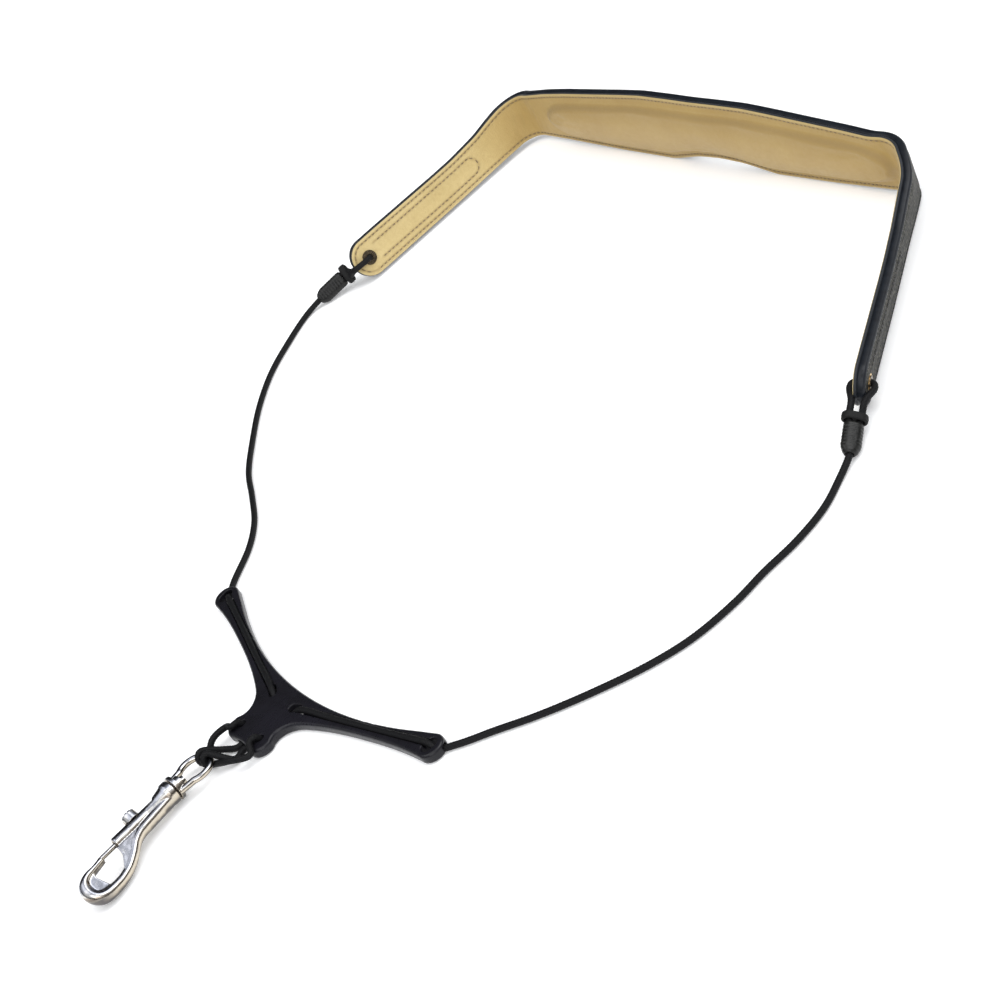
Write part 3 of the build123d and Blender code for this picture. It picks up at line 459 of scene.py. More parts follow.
def lining_hide():
    """Cream lining: smooth nappa, darker over the middle of the band and a little darker along
    seams, with painted shade on the cushion's upper slope.
    """
    paint = Paint("cream_lining_leather", Specular_IOR_Level=0.35)
    cloud = paint.noise(22.0, 5)
    mottle = paint.noise(1.6, 4)
    tail = paint.mix(paint.scaled(cloud, 0.3, 0.72), (0.49, 0.375, 0.163), (0.56, 0.44, 0.208))
    middle = paint.mix(paint.scaled(cloud, 0.3, 0.72), (0.375, 0.245, 0.072), (0.425, 0.29, 0.095))
    body = paint.mix(paint.mark("middle"), tail, middle)
    body = paint.mix(paint.scaled(mottle, 0.4, 0.75, 0, 0.25), body, (0.36, 0.245, 0.085))
    body = paint.mix(paint.scaled(paint.mark("seam"), 0, 1, 0, 0.55), body, (0.27, 0.185, 0.07))
    # painted shade: darkens the cushion's upper slope where it turns from the light
    body = paint.mix(paint.scaled(paint.mark("cushion"), 0, 1, 0, 0.62), body,
                     (0.275, 0.185, 0.075))
    body = paint.mix(paint.scaled(paint.mark("rim"), 0, 1, 0, 0.5), body, (0.52, 0.41, 0.19))
    body = paint.mix(paint.scaled(paint.mark("painted"), 0.3, 0.7), body, EDGE_LIGHT)
    grain = paint.bump(paint.cells(0.55), -0.06)
    normal = paint.bump(paint.noise(0.22, 3), 0.03, grain)
    paint.set(Base_Color=body, Roughness=paint.scaled(mottle, 0.3, 0.7, 0.46, 0.6), Normal=normal,
              Sheen_Weight=0.12, Sheen_Roughness=0.5)
    return paint.material


def braided_cord():
    """Black braid: painted shade between the plaits, a painted soft sheen on top of them."""
    paint = Paint("black_braided_cord", Specular_IOR_Level=0.14)
    relief = paint.mark("relief")
    fibres = paint.noise(0.18, 2, stretch=(1.0, 1.0, 0.4))
    # painted shade in the braid's valleys and painted sheen on its plaits, following the relief
    body = paint.mix(paint.scaled(relief, 0.2, 0.9), (0.002, 0.002, 0.0025),
                     (0.0095, 0.0095, 0.0105))
    body = paint.mix(paint.scaled(fibres, 0.5, 0.8, 0, 0.35), body, (0.022, 0.022, 0.023))
    paint.set(Base_Color=body, Roughness=paint.scaled(fibres, 0.2, 0.8, 0.45, 0.7),
              Normal=paint.bump(fibres, 0.06))
    return paint.material


def plain_thread(name, dark, light):
    """Twisted thread: two tones along its plies."""
    paint = Paint(name, Roughness=0.55, Sheen_Weight=0.2)
    fibres = paint.noise(0.3, 3)
    paint.set(Base_Color=paint.mix(paint.scaled(fibres, 0.35, 0.65), dark, light),
              Normal=paint.bump(fibres, 0.05))
    return paint.material


def moulded_resin():
    """Polished black resin with a navy tint, faint flow marks and handling haze."""
    paint = Paint("polished_black_resin", Specular_IOR_Level=0.26)
    cloud = paint.noise(14.0, 4)
    haze = paint.noise(3.0, 5, 0.65)
    scratch = paint.noise(0.35, 2, stretch=(1.0, 0.08, 1.0))
    body = paint.mix(paint.scaled(cloud, 0.3, 0.7), (0.0075, 0.0072, 0.0090),
                     (0.0115, 0.0110, 0.0155))
    rough = paint.math("ADD", paint.scaled(haze, 0.35, 0.75, 0.24, 0.38),
                       paint.scaled(scratch, 0.62, 0.8, 0.0, 0.1))
    normal = paint.bump(paint.noise(5.0, 2), 0.05, paint.bump(scratch, 0.004))
    paint.set(Base_Color=body, Roughness=rough, Normal=normal)
    return paint.material


def dark_skin(name, level, size, detail, tones, rough, relief):
    """Black moulded or shrunk surface with an uneven skin."""
    paint = Paint(name, Specular_IOR_Level=level)
    skin = paint.noise(size, detail)
    paint.set(Base_Color=paint.mix(paint.scaled(skin, 0.3, 0.7), *tones),
              Roughness=paint.scaled(skin, 0.3, 0.7, *rough), Normal=paint.bump(skin, relief))
    return paint.material


# Painted reflection: tones of the surroundings that the curved plating mirrors, from its upper to
# its lower side
MIRRORED = [(0.00, (0.10, 0.10, 0.12)), (0.12, (0.20, 0.21, 0.25)), (0.30, (0.27, 0.28, 0.32)),
            (0.42, (0.74, 0.72, 0.68)), (0.50, (0.30, 0.25, 0.20)), (0.58, (0.17, 0.135, 0.10)),
            (0.68, (0.58, 0.52, 0.42)), (0.82, (0.46, 0.40, 0.31)), (0.93, (0.05, 0.045, 0.04))]
MIRROR_DIRECTION = (0.542, 0.006, -0.840)
MIRROR_SHARE = 0.92
# Painted reflection: the underside of the snap's nose mirrors darker surroundings, between these y
# in metres
NOSE_SPAN = (-0.0835, -0.0905)
NOSE_TONE = (0.03, 0.03, 0.04)


def mirrored_tones(paint):
    """Painted reflection: bands of light and dark that follow the way the plating faces."""
    normal = paint.add("ShaderNodeNewGeometry").outputs["Normal"]
    facing = paint.add("ShaderNodeVectorMath", {"operation": "DOT_PRODUCT"}, i0=normal,
                       i1=MIRROR_DIRECTION).outputs["Value"]
    wander = paint.scaled(paint.noise(4.5, 2), 0.2, 0.8, -0.16, 0.16)
    bands = paint.add("ShaderNodeValToRGB")
    paint.feed(bands.inputs["Fac"], paint.scaled(paint.math("ADD", facing, wander), -1.0, 1.0))
    colour_stops(bands.color_ramp, MIRRORED)
    along = paint.add("ShaderNodeSeparateXYZ", i0=paint.place).outputs["Y"]
    nose = paint.math("MULTIPLY", paint.scaled(along, *NOSE_SPAN), paint.scaled(facing, 0.05, 0.4))
    return paint.mix(paint.math("MULTIPLY", nose, 0.9), bands.outputs["Color"], NOSE_TONE)


def plated(name, warm, cool, rough, waviness, mirrored=False):
    """Plated metal: two tints, cast waviness and fine handling marks, with painted reflection bands
    when mirrored.
    """
    paint = Paint(name, Metallic=1.0)
    cloud = paint.noise(6.0, 3)
    marks = paint.noise(0.4, 3, stretch=(1.0, 0.25, 1.0))
    body = paint.mix(paint.scaled(cloud, 0.35, 0.65), cool, warm)
    if mirrored:
        # painted reflection bands mixed over the metal's own tints
        body = paint.mix(MIRROR_SHARE, body, mirrored_tones(paint))
    normal = paint.bump(paint.noise(3.5, 1), waviness, paint.bump(marks, 0.002))
    paint.set(Base_Color=body, Roughness=paint.scaled(marks, 0.3, 0.75, rough, rough + 0.12),
              Normal=normal)
    return paint.material


def open_foam():
    """Pale closed-cell foam."""
    paint = Paint("pale_foam", Roughness=0.9)
    pores = paint.cells(0.5)
    paint.set(Base_Color=paint.mix(paint.scaled(pores, 0.1, 0.6), (0.5, 0.48, 0.42),
                                   (0.72, 0.70, 0.64)), Normal=paint.bump(pores, 0.1))
    return paint.material


def woven_strip():
    """Black woven reinforcement."""
    paint = Paint("black_webbing", Roughness=0.75, Sheen_Weight=0.3)
    weave = paint.add("ShaderNodeTexWave", {"bands_direction": "DIAGONAL"}, Vector=paint.place,
                      Scale=0.35 / MM, Distortion=0.4).outputs["Fac"]
    paint.set(Base_Color=paint.mix(weave, (0.008, 0.008, 0.008), (0.03, 0.03, 0.03)),
              Normal=paint.bump(weave, 0.12))
    return paint.material


LEATHER = grained_leather()
LINING = lining_hide()
CORD = braided_cord()
BROWN_THREAD = plain_thread("brown_thread", (0.115, 0.08, 0.036), (0.25, 0.18, 0.085))
BLACK_THREAD = plain_thread("black_thread", (0.006, 0.006, 0.007), (0.028, 0.028, 0.03))
RESIN = moulded_resin()
TUBING = dark_skin("black_shrunk_tube", 0.24, 0.9, 4, ((0.006, 0.006, 0.006), (0.014, 0.014, 0.013)),
                   (0.22, 0.38), 0.10)
RUBBER = dark_skin("black_rubber", 0.18, 0.5, 3, ((0.004, 0.004, 0.004), (0.011, 0.011, 0.011)),
                   (0.5, 0.68), 0.05)
NICKEL = plated("nickel_plate", (0.78, 0.72, 0.63), (0.56, 0.58, 0.62), 0.16, 0.12,
                mirrored=True)
BRASS = plated("polished_brass", (0.82, 0.56, 0.20), (0.70, 0.46, 0.15), 0.2, 0.03)
BRONZE = plated("dark_bronze", (0.20, 0.155, 0.10), (0.11, 0.088, 0.060), 0.22, 0.03)
STEEL = plated("drawn_spring_steel", (0.56, 0.56, 0.56), (0.48, 0.49, 0.50), 0.25, 0.01)
FOAM = open_foam()
WEBBING = woven_strip()


# --------------------------------------------------------------- neck band
def filleted(corners, radius):
    """Dense line through the corners with each bend rounded to radius."""
    corners = [np.array(c, float) for c in corners]
    line = [corners[0]]
    for before, corner, after in zip(corners, corners[1:], corners[2:]):
        a, b = unit(before - corner), unit(after - corner)
        half = math.acos(a @ b) / 2
        centre = corner + unit(a + b) * radius / math.sin(half)
        first, last = corner + a * radius / math.tan(half), corner + b * radius / math.tan(half)
        u, v = unit(first - centre), last - centre
        sweep = math.acos(np.clip(u @ unit(v), -1, 1))
        w = unit(v - u * (v @ u))
        turn = np.linspace(0, sweep, 40)[:, None]
        line.extend(centre + radius * (u * np.cos(turn) + w * np.sin(turn)))
    return resampled(np.array(line + [corners[-1]]), BAND_STEP)


band_line = filleted(BAND_PLAN, BEND_RADIUS)
band_tangent = unit(np.gradient(band_line, axis=0))
band_along = np.concatenate(([0], np.cumsum(np.linalg.norm(np.diff(band_line, axis=0), axis=1))))
BAND_LENGTH = band_along[-1]
BAND_MIDDLE = BAND_LENGTH / 2
LEFT_BEND = math.dist(BAND_PLAN[0], BAND_PLAN[1])
RIGHT_BEND = BAND_LENGTH - math.dist(BAND_PLAN[2], BAND_PLAN[3])


def eased_table(table):
    """Values of a (distance from the middle, value) table along the band, corners eased."""
    distance, value = zip(*table)
    values = np.interp(np.abs(band_along - BAND_MIDDLE), distance, value)
    kernel = np.hanning(41) / np.hanning(41).sum()
    return np.convolve(np.pad(values, 20, mode="edge"), kernel, mode="valid")


band_widths = eased_table(BAND_WIDTHS)
band_lifts = eased_table(BAND_LIFTS)


def band_width(s):
    return np.interp(s, band_along, band_widths)


def band_axes(s):
    """Foot of the band at length s, with its tangent, into-the-loop and up-the-face axes."""
    foot = np.stack([np.interp(s, band_along, band_line[:, 0]),
                     np.interp(s, band_along, band_line[:, 1]),
                     np.interp(s, band_along, band_lifts)], -1)
    tx = np.interp(s, band_along, band_tangent[:, 0])
    ty = np.interp(s, band_along, band_tangent[:, 1])
    tangent = unit(np.stack([tx, ty, 0 * tx], -1))
    level = np.stack([tangent[..., 1], -tangent[..., 0], 0 * tx], -1)
    up = np.array((0, 0, 1.0))
    lean = TAIL_LEAN * np.maximum(ramp(LEFT_BEND + LEAN_LEAD - s, 0, LEAN_BLEND),
                                  ramp(s - RIGHT_BEND + LEAN_LEAD, 0, LEAN_BLEND))[..., None]
    inward = level * np.cos(lean) + up * np.sin(lean)
    rise = up * np.cos(lean) - level * np.sin(lean)
    return foot, tangent, inward, rise


def on_band(s, h, depth):
    """Point at length s, height h up the face and depth into the loop."""
    s, h, depth = np.broadcast_arrays(s, h, depth)
    foot, tangent, inward, rise = band_axes(s)
    return foot + rise * h[..., None] + inward * depth[..., None]


def edge_distance(s, h):
    """Distance from the band's outline, with its rounded ends."""
    width = band_width(s)
    half = width / 2
    reach = np.minimum(s, BAND_LENGTH - s)
    round_end = half - np.hypot(np.maximum(half - reach, 0), h - half)
    return np.where(reach < half, round_end, np.minimum(h, width - h))


def channel_distance(s, h):
    """Distance from a tail's channel seam: two lines joined by a round end."""
    reach = np.minimum(s, BAND_LENGTH - s)
    middle = band_width(s) / 2
    past = np.maximum(reach - CHANNEL_END + CHANNEL_HALF_WIDTH, 0)
    before = np.maximum(CHANNEL_START - reach, 0)
    return np.hypot(np.hypot(past, h - middle) - CHANNEL_HALF_WIDTH, before)


def pulled(distance, depth):
    """Depth of the groove that a seam pulls at a distance from it."""
    return depth * np.exp(-(distance / SEAM_HALF_WIDTH) ** 2)


def swell(s, h):
    """Height of the cushion over the flat lining, 0 to 1."""
    ends = (FOAM_HALF_LENGTH + PAD_OVERRUN - np.abs(s - BAND_MIDDLE)) / PAD_END_SLOPE
    sides = np.minimum(h - PAD_LOWER_INSET, band_width(s) - h - PAD_UPPER_INSET)
    corner = PAD_CORNER - np.hypot(np.clip(PAD_CORNER - ends, 0, None),
                                   np.clip(PAD_CORNER - sides, 0, None))
    inside = np.where((ends < PAD_CORNER) | (sides < PAD_CORNER), corner, PAD_CORNER)
    return (PAD_SHOULDER_SHARE * ramp(inside, 0, PAD_SHOULDER)
            + (1 - PAD_SHOULDER_SHARE) * ramp(inside, 0, PAD_CORNER))


def rim_drop(distance, radius):
    """How far a face falls away at its rounded rim."""
    inner = np.clip(radius - distance, 0, radius)
    return radius - np.sqrt(radius ** 2 - inner ** 2)


def bend_creases(s, h):
    """Fine crosswise creases where the lining is squeezed at the two bends."""
    near = sum(np.exp(-((s - bend) / spread) ** 2)
               for bend, spread in zip((LEFT_BEND, RIGHT_BEND), CREASE_SPREADS))
    waves = np.sin(s * 2.1 + 1.3 * np.sin(h / 3.0)) * np.sin(h / 4.1 + s * 0.35)
    return CREASE_DEPTH * near * waves * ramp(edge_distance(s, h), 2.0, 5.0)


def lining_depth(s, h):
    """Depth of the lining's face."""
    edge = edge_distance(s, h)
    channel = channel_distance(s, h)
    crown = FOAM_DEPTH * swell(s, h) * (1 + 0.06 * np.sin(s / 17.0) * np.sin(s / 7.3 + h / 9.0))
    puff = LINING_PUFF * ramp(edge, 0.3, 1.2) * (1 - ramp(edge, 1.2, 2.0))
    ridge = CHANNEL_RISES["lining"] * ramp(CHANNEL_HALF_WIDTH - channel, 0, CHANNEL_HALF_WIDTH)
    ridge = ridge * (np.minimum(s, BAND_LENGTH - s) < CHANNEL_END + TIP_LENGTH)
    dent = pulled(edge - SEAM_INSET, SEAM_GROOVE) + pulled(channel, CHANNEL_DENTS["lining"])
    raised = puff + crown + ridge + bend_creases(s, h)
    return LINING_BASE - rim_drop(edge, LINING_RIM) + raised - dent


def outer_depth(s, h):
    """Depth of the outer leather's face, negative outwards."""
    edge = edge_distance(s, h)
    channel = channel_distance(s, h)
    puff = OUTER_PUFF * ramp(edge, 0.2, 0.9) * (1 - ramp(edge, 0.9, 1.6))
    belly = OUTER_BELLY * ramp(edge, 1.8, 5.0)
    ridge = CHANNEL_RISES["outer"] * ramp(CHANNEL_HALF_WIDTH - channel, 0, CHANNEL_HALF_WIDTH)
    ridge = ridge * (np.abs(h - band_width(s) / 2) < CHANNEL_HALF_WIDTH)
    ridge = ridge * (np.minimum(s, BAND_LENGTH - s) < CHANNEL_END)
    dent = pulled(edge - SEAM_INSET, SEAM_GROOVE) + pulled(channel, CHANNEL_DENTS["outer"])
    return -OUTER_LEATHER + rim_drop(edge, OUTER_RIM) - puff - belly - ridge + dent


def band_grid(columns=84, start=0.0, end=None):
    """Length and height of each point of a grid over the band's face."""
    end = BAND_LENGTH if end is None else end
    s = np.linspace(start, end, int((end - start) / 0.9))
    if start == 0.0:
        tip = TIP_LENGTH * (1 - np.cos(np.linspace(0, math.pi / 2, 22)))
        between = s[(s > TIP_LENGTH) & (s < end - TIP_LENGTH)]
        s = np.concatenate((tip[:-1] + 0.01, between, end - tip[::-1][1:] - 0.01))
    share = (1 - np.cos(np.linspace(0, math.pi, columns))) / 2
    half = band_width(s) / 2
    reach = np.minimum(s, BAND_LENGTH - s)
    lost = half - np.sqrt(np.maximum(half ** 2 - np.maximum(half - reach, 0) ** 2, 1e-4))
    s = s[:, None]
    h = lost[:, None] + share[None, :] * (band_width(s) - 2 * lost[:, None])
    return np.broadcast_to(s, h.shape), h


def leather_skin(name, face_depth, seat_depth, material, rim, shift=None, overhang=0.0):
    """Closed sheet of leather from its shaped face, round its edge, to a flat seat."""
    s, flat_h = band_grid()
    depth = face_depth(s, flat_h)
    top = flat_h[:, -1:]
    h = flat_h + overhang * (1 - ramp(s, *OVERHANG_END)) * ramp(flat_h, top - OVERHANG_WIDTH, top)
    face = on_band(s, h, depth)
    if shift is not None:
        face = face + shift(s, h)
    side = (depth[:, :1] + seat_depth) / 2
    pick = np.linspace(s.shape[1] - 1, 0, 12).astype(int)
    inset = np.clip((h[:, -1:] - h[:, :1]) / 2, 0, 0.25) * np.linspace(-1, 1, 12)
    seat = np.concatenate((on_band(s[:, -1:], h[:, -1:] + 0.1, side),
                           on_band(s[:, pick], h[:, pick] + inset, seat_depth),
                           on_band(s[:, :1], h[:, :1] - 0.1, side)), axis=1)
    rings = np.concatenate((face, seat), axis=1)

    def on_face(values):
        return np.concatenate((values, np.zeros(seat.shape[:2])), axis=1)

    distance = edge_distance(s, flat_h)
    edge = on_face(distance)
    seam = np.minimum(np.abs(distance - SEAM_INSET), channel_distance(s, flat_h))
    stuffed = swell(s, flat_h)
    # painted shade on the cushion's slope, strongest halfway up and only on its upper part
    cushion_slope_shade = 4 * stuffed * (1 - stuffed) * ramp(flat_h, 5.0, 12.0)
    middle = ramp(np.minimum(s, BAND_LENGTH - s), TAIL_TONE_END, MIDDLE_TONE_START)
    middle = np.concatenate((middle, middle[:, :seat.shape[1]]), axis=1)
    marks = {"rim": 1 - ramp(edge, rim, rim + 0.5), "seam": on_face(np.exp(-(seam / 0.55) ** 2)),
             "cushion": on_face(cushion_slope_shade), "middle": middle, "painted": 1 - ramp(edge, 0.0, 0.12)}
    return add_mesh(name, rings, ring_faces(rings.shape[0], rings.shape[1]), material, marks)


def stuffed_shift():
    """Blows the lining up over its cushion as cloth, pinned at the border, and returns
    a function that gives how far each point of the face moved."""
    rows, columns = SHEET_ROWS, SHEET_COLUMNS
    reach = FOAM_HALF_LENGTH + 1
    s = np.linspace(BAND_MIDDLE - reach, BAND_MIDDLE + reach, rows)[:, None]
    h = SHEET_INSET + np.linspace(0, 1, columns)[None, :] * (band_width(s) - 2 * SHEET_INSET)
    s = np.broadcast_to(s, h.shape)
    rest = on_band(s, h, lining_depth(s, h) - SHEET_SINK * swell(s, h))
    corners = [i * columns + j for i in range(rows - 1) for j in range(columns - 1)]
    faces = [(k, k + 1, k + columns + 1, k + columns) for k in corners]
    sheet = add_mesh("lining_sheet", rest, faces, LINING)
    border = [i * columns + j for i in range(rows) for j in range(columns)
              if i in (0, rows - 1) or j in (0, columns - 1)]
    sheet.vertex_groups.new(name="pin").add(border, 1.0, "REPLACE")
    cloth = sheet.modifiers.new("cloth", "CLOTH")
    settings = cloth.settings
    settings.vertex_group_mass = "pin"
    settings.quality = 6
    settings.mass = 0.25
    settings.tension_stiffness = settings.compression_stiffness = 22
    settings.shear_stiffness = 8
    settings.bending_stiffness = 0.4
    settings.use_pressure = True
    settings.uniform_pressure_force = SHEET_PRESSURE
    settings.effector_weights.gravity = 0.0
    cloth.point_cache.frame_start, cloth.point_cache.frame_end = 1, SHEET_FRAMES
    for step in range(1, SHEET_FRAMES + 1):
        bpy.context.scene.frame_set(step)
    blown = sheet.evaluated_get(bpy.context.evaluated_depsgraph_get()).to_mesh()
    points = np.array([v.co for v in blown.vertices]).reshape(rows, columns, 3) / MM
    bpy.data.objects.remove(sheet)
    out = np.clip(((points - rest) * band_axes(s)[2]).sum(-1), *SHEET_MOVES)

    def shift(at_s, at_h):
        row = (at_s - s[0, 0]) / (s[-1, 0] - s[0, 0]) * (rows - 1)
        column = (at_h - SHEET_INSET) / (band_width(at_s) - 2 * SHEET_INSET) * (columns - 1)
        row = np.clip(row, 0, rows - 1.001)
        column = np.clip(column, 0, columns - 1.001)
        i, j = row.astype(int), column.astype(int)
        u, v = row - i, column - j
        lift = ((1 - u) * (1 - v) * out[i, j] + u * (1 - v) * out[i + 1, j]
                + (1 - u) * v * out[i, j + 1] + u * v * out[i + 1, j + 1])
        return band_axes(at_s)[2] * lift[..., None]

    return shift


def eyelet_frame(side):
    """Eyelet's centre with the band's axes there and the way out of the tail."""
    s = np.array(EYELET_INSET if side == "left" else BAND_LENGTH - EYELET_INSET)
    foot, tangent, inward, rise = band_axes(s)
    centre = foot + rise * band_width(s) / 2
    return centre, tangent * (-1 if side == "left" else 1), inward, rise


def punched(skin):
    """Cuts the eyelet holes through a skin."""
    for side in ("left", "right"):
        centre, out, inward, rise = eyelet_frame(side)
        turn = full_turn(EYELET_SIDES)[:, None]
        circle = centre + EYELET_HOLE * (np.cos(turn) * out + np.sin(turn) * rise)
        rings = np.stack([circle + inward * depth for depth in (-CUT_DEPTH, CUT_DEPTH)])
        cutter = add_mesh("cutter", rings, ring_faces(2, EYELET_SIDES), LEATHER)
        applied(skin, ("BOOLEAN", {"operation": "DIFFERENCE", "solver": "EXACT", "object": cutter}))
        bpy.data.objects.remove(cutter)


def stitches(seam, run, material, face_depth, outward):
    """Separate stitches along a seam's (length, height) points, their ends sunk in."""
    points, faces = [], []
    lengthwise = np.linspace(-1, 1, STITCH_RINGS)
    sink = 0.12 - 0.30 * np.abs(lengthwise) ** 3
    radius = STITCH_RADIUS * np.sqrt(np.maximum(1 - (np.abs(lengthwise) * 0.93) ** 4, 0.02))
    turn = full_turn(STITCH_SIDES)
    s, h = run[:, 0], run[:, 1]
    line = resampled(np.column_stack((on_band(s, h, face_depth(s, h)), s)), 0.2)
    along = np.arange(len(line)) * np.linalg.norm(line[1, :3] - line[0, :3])
    count = int((along[-1] - STITCH_LENGTH) // STITCH_PITCH)
    for k in range(count):
        middle = (k + 0.5) * STITCH_PITCH + rng.uniform(-STITCH_JITTER, STITCH_JITTER)
        places = middle + lengthwise * STITCH_LENGTH / 2
        path = np.column_stack([np.interp(places, along, line[:, i]) for i in range(4)])
        out = band_axes(path[:, 3])[2] * outward
        side = unit(np.cross(np.gradient(path[:, :3], axis=0), out))
        slant = rng.uniform(-STITCH_SLANT, STITCH_SLANT)
        centre = path[:, :3] + out * sink[:, None] + side * lengthwise[:, None] * slant
        points.append(centre[:, None] + radius[:, None, None] * circled(turn, side, out))
        base = (len(points) - 1) * STITCH_RINGS * STITCH_SIDES
        faces.extend(tuple(i + base for i in face)
                     for face in ring_faces(STITCH_RINGS, STITCH_SIDES))
    points = np.concatenate([p.reshape(-1, 3) for p in points])
    made = add_mesh(f"{seam}_stitches", points, faces, material)
    dressed(made, "neck_band", f"{seam}_thread")


def edge_run():
    """Perimeter seam: along the lower edge, round an end, back along the upper edge."""
    s = np.arange(TIP_LENGTH, BAND_LENGTH - TIP_LENGTH, 0.5)
    width = band_width(s)
    half = band_width(0.0) / 2
    turn = np.linspace(-math.pi / 2, math.pi / 2, 30)[1:-1]
    inner = half - SEAM_INSET
    far = np.column_stack((BAND_LENGTH - half + inner * np.cos(turn), half + inner * np.sin(turn)))
    near = np.column_stack((half - inner * np.cos(turn), half - inner * np.sin(turn)))
    lower = np.column_stack((s, np.full_like(s, SEAM_INSET)))
    upper = np.column_stack((s, width - SEAM_INSET))[::-1]
    return np.vstack((lower, far, upper, near, lower[:1]))


def channel_run(side):
    """Channel seam of one tail: out along one line, round its end and back."""
    reach = np.arange(CHANNEL_START, CHANNEL_END - CHANNEL_HALF_WIDTH, 0.5)
    turn = np.linspace(-math.pi / 2, math.pi / 2, 20)[1:-1]
    tip = CHANNEL_END - CHANNEL_HALF_WIDTH
    line = [(r, -CHANNEL_HALF_WIDTH) for r in reach]
    line += [(tip + CHANNEL_HALF_WIDTH * math.cos(t), CHANNEL_HALF_WIDTH * math.sin(t))
             for t in turn]
    line += [(r, CHANNEL_HALF_WIDTH) for r in reach[::-1]]
    line = np.array(line)
    s = line[:, 0] if side == "left" else BAND_LENGTH - line[:, 0]
    return np.column_stack((s, band_width(s) / 2 + line[:, 1]))


shift = stuffed_shift()
outer_skin = leather_skin("outer_leather_skin", outer_depth, -0.01, LEATHER, OUTER_RIM,
                          overhang=OUTER_OVERHANG)
punched(outer_skin)
dressed(outer_skin, "neck_band", "outer_leather")
lining_skin = leather_skin("lining_leather_skin", lining_depth, 0.01, LINING, LINING_RIM, shift)
punched(lining_skin)
dressed(lining_skin, "neck_band", "lining_leather")


def foam_pad():
    """Crowned foam core, just under the lining."""
    reach = FOAM_HALF_LENGTH - 1.5
    s, h = band_grid(30, BAND_MIDDLE - reach, BAND_MIDDLE + reach)
    h = FOAM_INSET + (h - h[:, :1]) / (h[:, -1:] - h[:, :1]) * (band_width(s) - FOAM_MARGINS)
    top = on_band(s, h, np.maximum(lining_depth(s, h) - FOAM_COVER, 0.3))
    seat = on_band(s[:, ::-1], h[:, ::-1], 0.05)
    rings = np.concatenate((top, seat), axis=1)
    made = add_mesh("foam_pad", rings, ring_faces(rings.shape[0], rings.shape[1]), FOAM)
    dressed(made, "neck_band", "foam_core")


foam_pad()
stitches("inner_edge", edge_run(), BROWN_THREAD, lining_depth, 1)
stitches("outer_edge", edge_run(), BLACK_THREAD, outer_depth, -1)
for side in ("left", "right"):
    stitches(f"{side}_inner_channel", channel_run(side), BROWN_THREAD, lining_depth, 1)
    stitches(f"{side}_outer_channel", channel_run(side), BLACK_THREAD, outer_depth, -1)


# ------------------------------------------------------------------- cords
def braid(along, around):
    """Relief of a tight braid, 0 in the valleys and 1 on the plaits."""
    a = np.sin(math.pi * along / BRAID_PITCH + BRAID_PLAITS * around / 2)
    b = np.sin(math.pi * along / BRAID_PITCH - BRAID_PLAITS * around / 2)
    return np.abs(a * b) ** 0.6


def cord_rings(line, radius_at=None):
    """Rings of braided cord along a line, with each point's relief."""
    tangent, side, up = carried_frame(line)
    along = np.arange(len(line)) * CORD_STEP
    turn = full_turn(CORD_SIDES)
    relief = braid(along[:, None], turn[None, :])
    radius = radius_at(along, along[-1]) if radius_at else np.full(len(line), CORD_RADIUS)
    reach = radius[:, None] - BRAID_RELIEF * (1 - relief)
    return line[:, None] + reach[..., None] * circled(turn, side, up), relief


def cord_piece(name, rings, relief):
    """One section of cord."""
    return add_mesh(name, rings, ring_faces(len(rings), CORD_SIDES), CORD, {"relief": relief})


def sleeve_frame(side):
    """Sleeve's start and axis, and the direction across its two strands."""
    start, end = (np.array(p) for p in SLEEVES[side])
    axis = unit(end - start)
    inward = eyelet_frame(side)[2]
    level = unit(inward - axis * (inward @ axis))
    roll = SLEEVE_ROLLS[side]
    return start, axis, level * math.cos(roll) + np.cross(axis, level) * math.sin(roll)


level_side = unit(np.array((-SNAP_AXIS[1], SNAP_AXIS[0], 0)))
snap_up = unit(np.cross(level_side, SNAP_AXIS))


def strand_points(side):
    """A side's whole cord from its sleeve to its knot, as four lists of points."""
    sign = -1 if side == "left" else 1
    start, axis, across = sleeve_frame(side)
    end = np.array(SLEEVES[side][1])
    table = [start + axis * (STRAND_DEPTH + 0.4), end]
    table += [np.array((x, y, CORD_LIE)) for x, y in LYING[side]]
    run = [(*TIP_EXIT, BACK_RUN_Z), (*TIP_SLOT, BACK_RUN_Z + 0.1)]
    run += [(x, ARM_FOOT[1] + (x - ARM_FOOT[0]) * ARM_SLOPE, FRONT_RUN_Z) for x in ARM_STATIONS]
    run += [(*place, BACK_RUN_Z) for place in (*BACK_RUN, BACK_EXIT)]
    arm = [np.array((sign * x, y, z)) for x, y, z in run]
    bow = SNAP_ORIGIN + SNAP_AXIS * (EYE_TOP_P + 0.24) + level_side * sign * LOOP_SPACING
    wrap = EYE_WIRE_RADIUS + CORD_RADIUS + LOOP_SLACK
    turns = [math.radians(angle) for angle in WRAP_ANGLES]
    loop = [bow + SNAP_AXIS * wrap * math.cos(t) + snap_up * wrap * math.sin(t) for t in turns]
    knot = [np.array((sign * STEM_HOLE[0], STEM_HOLE[1] + y, z)) for y, z in KNOT_ROUTE]
    return table, arm, loop, knot


def knot_bulb(along, length):
    """Cord radius with a melted bulb at the far end."""
    left = length - along
    bulb = CORD_RADIUS + KNOT_BULB * ramp(left, 0.0, 0.5) * (1 - ramp(left, 1.5, 2.1))
    return np.minimum(bulb, 0.5 + 3.0 * left + 0.3)


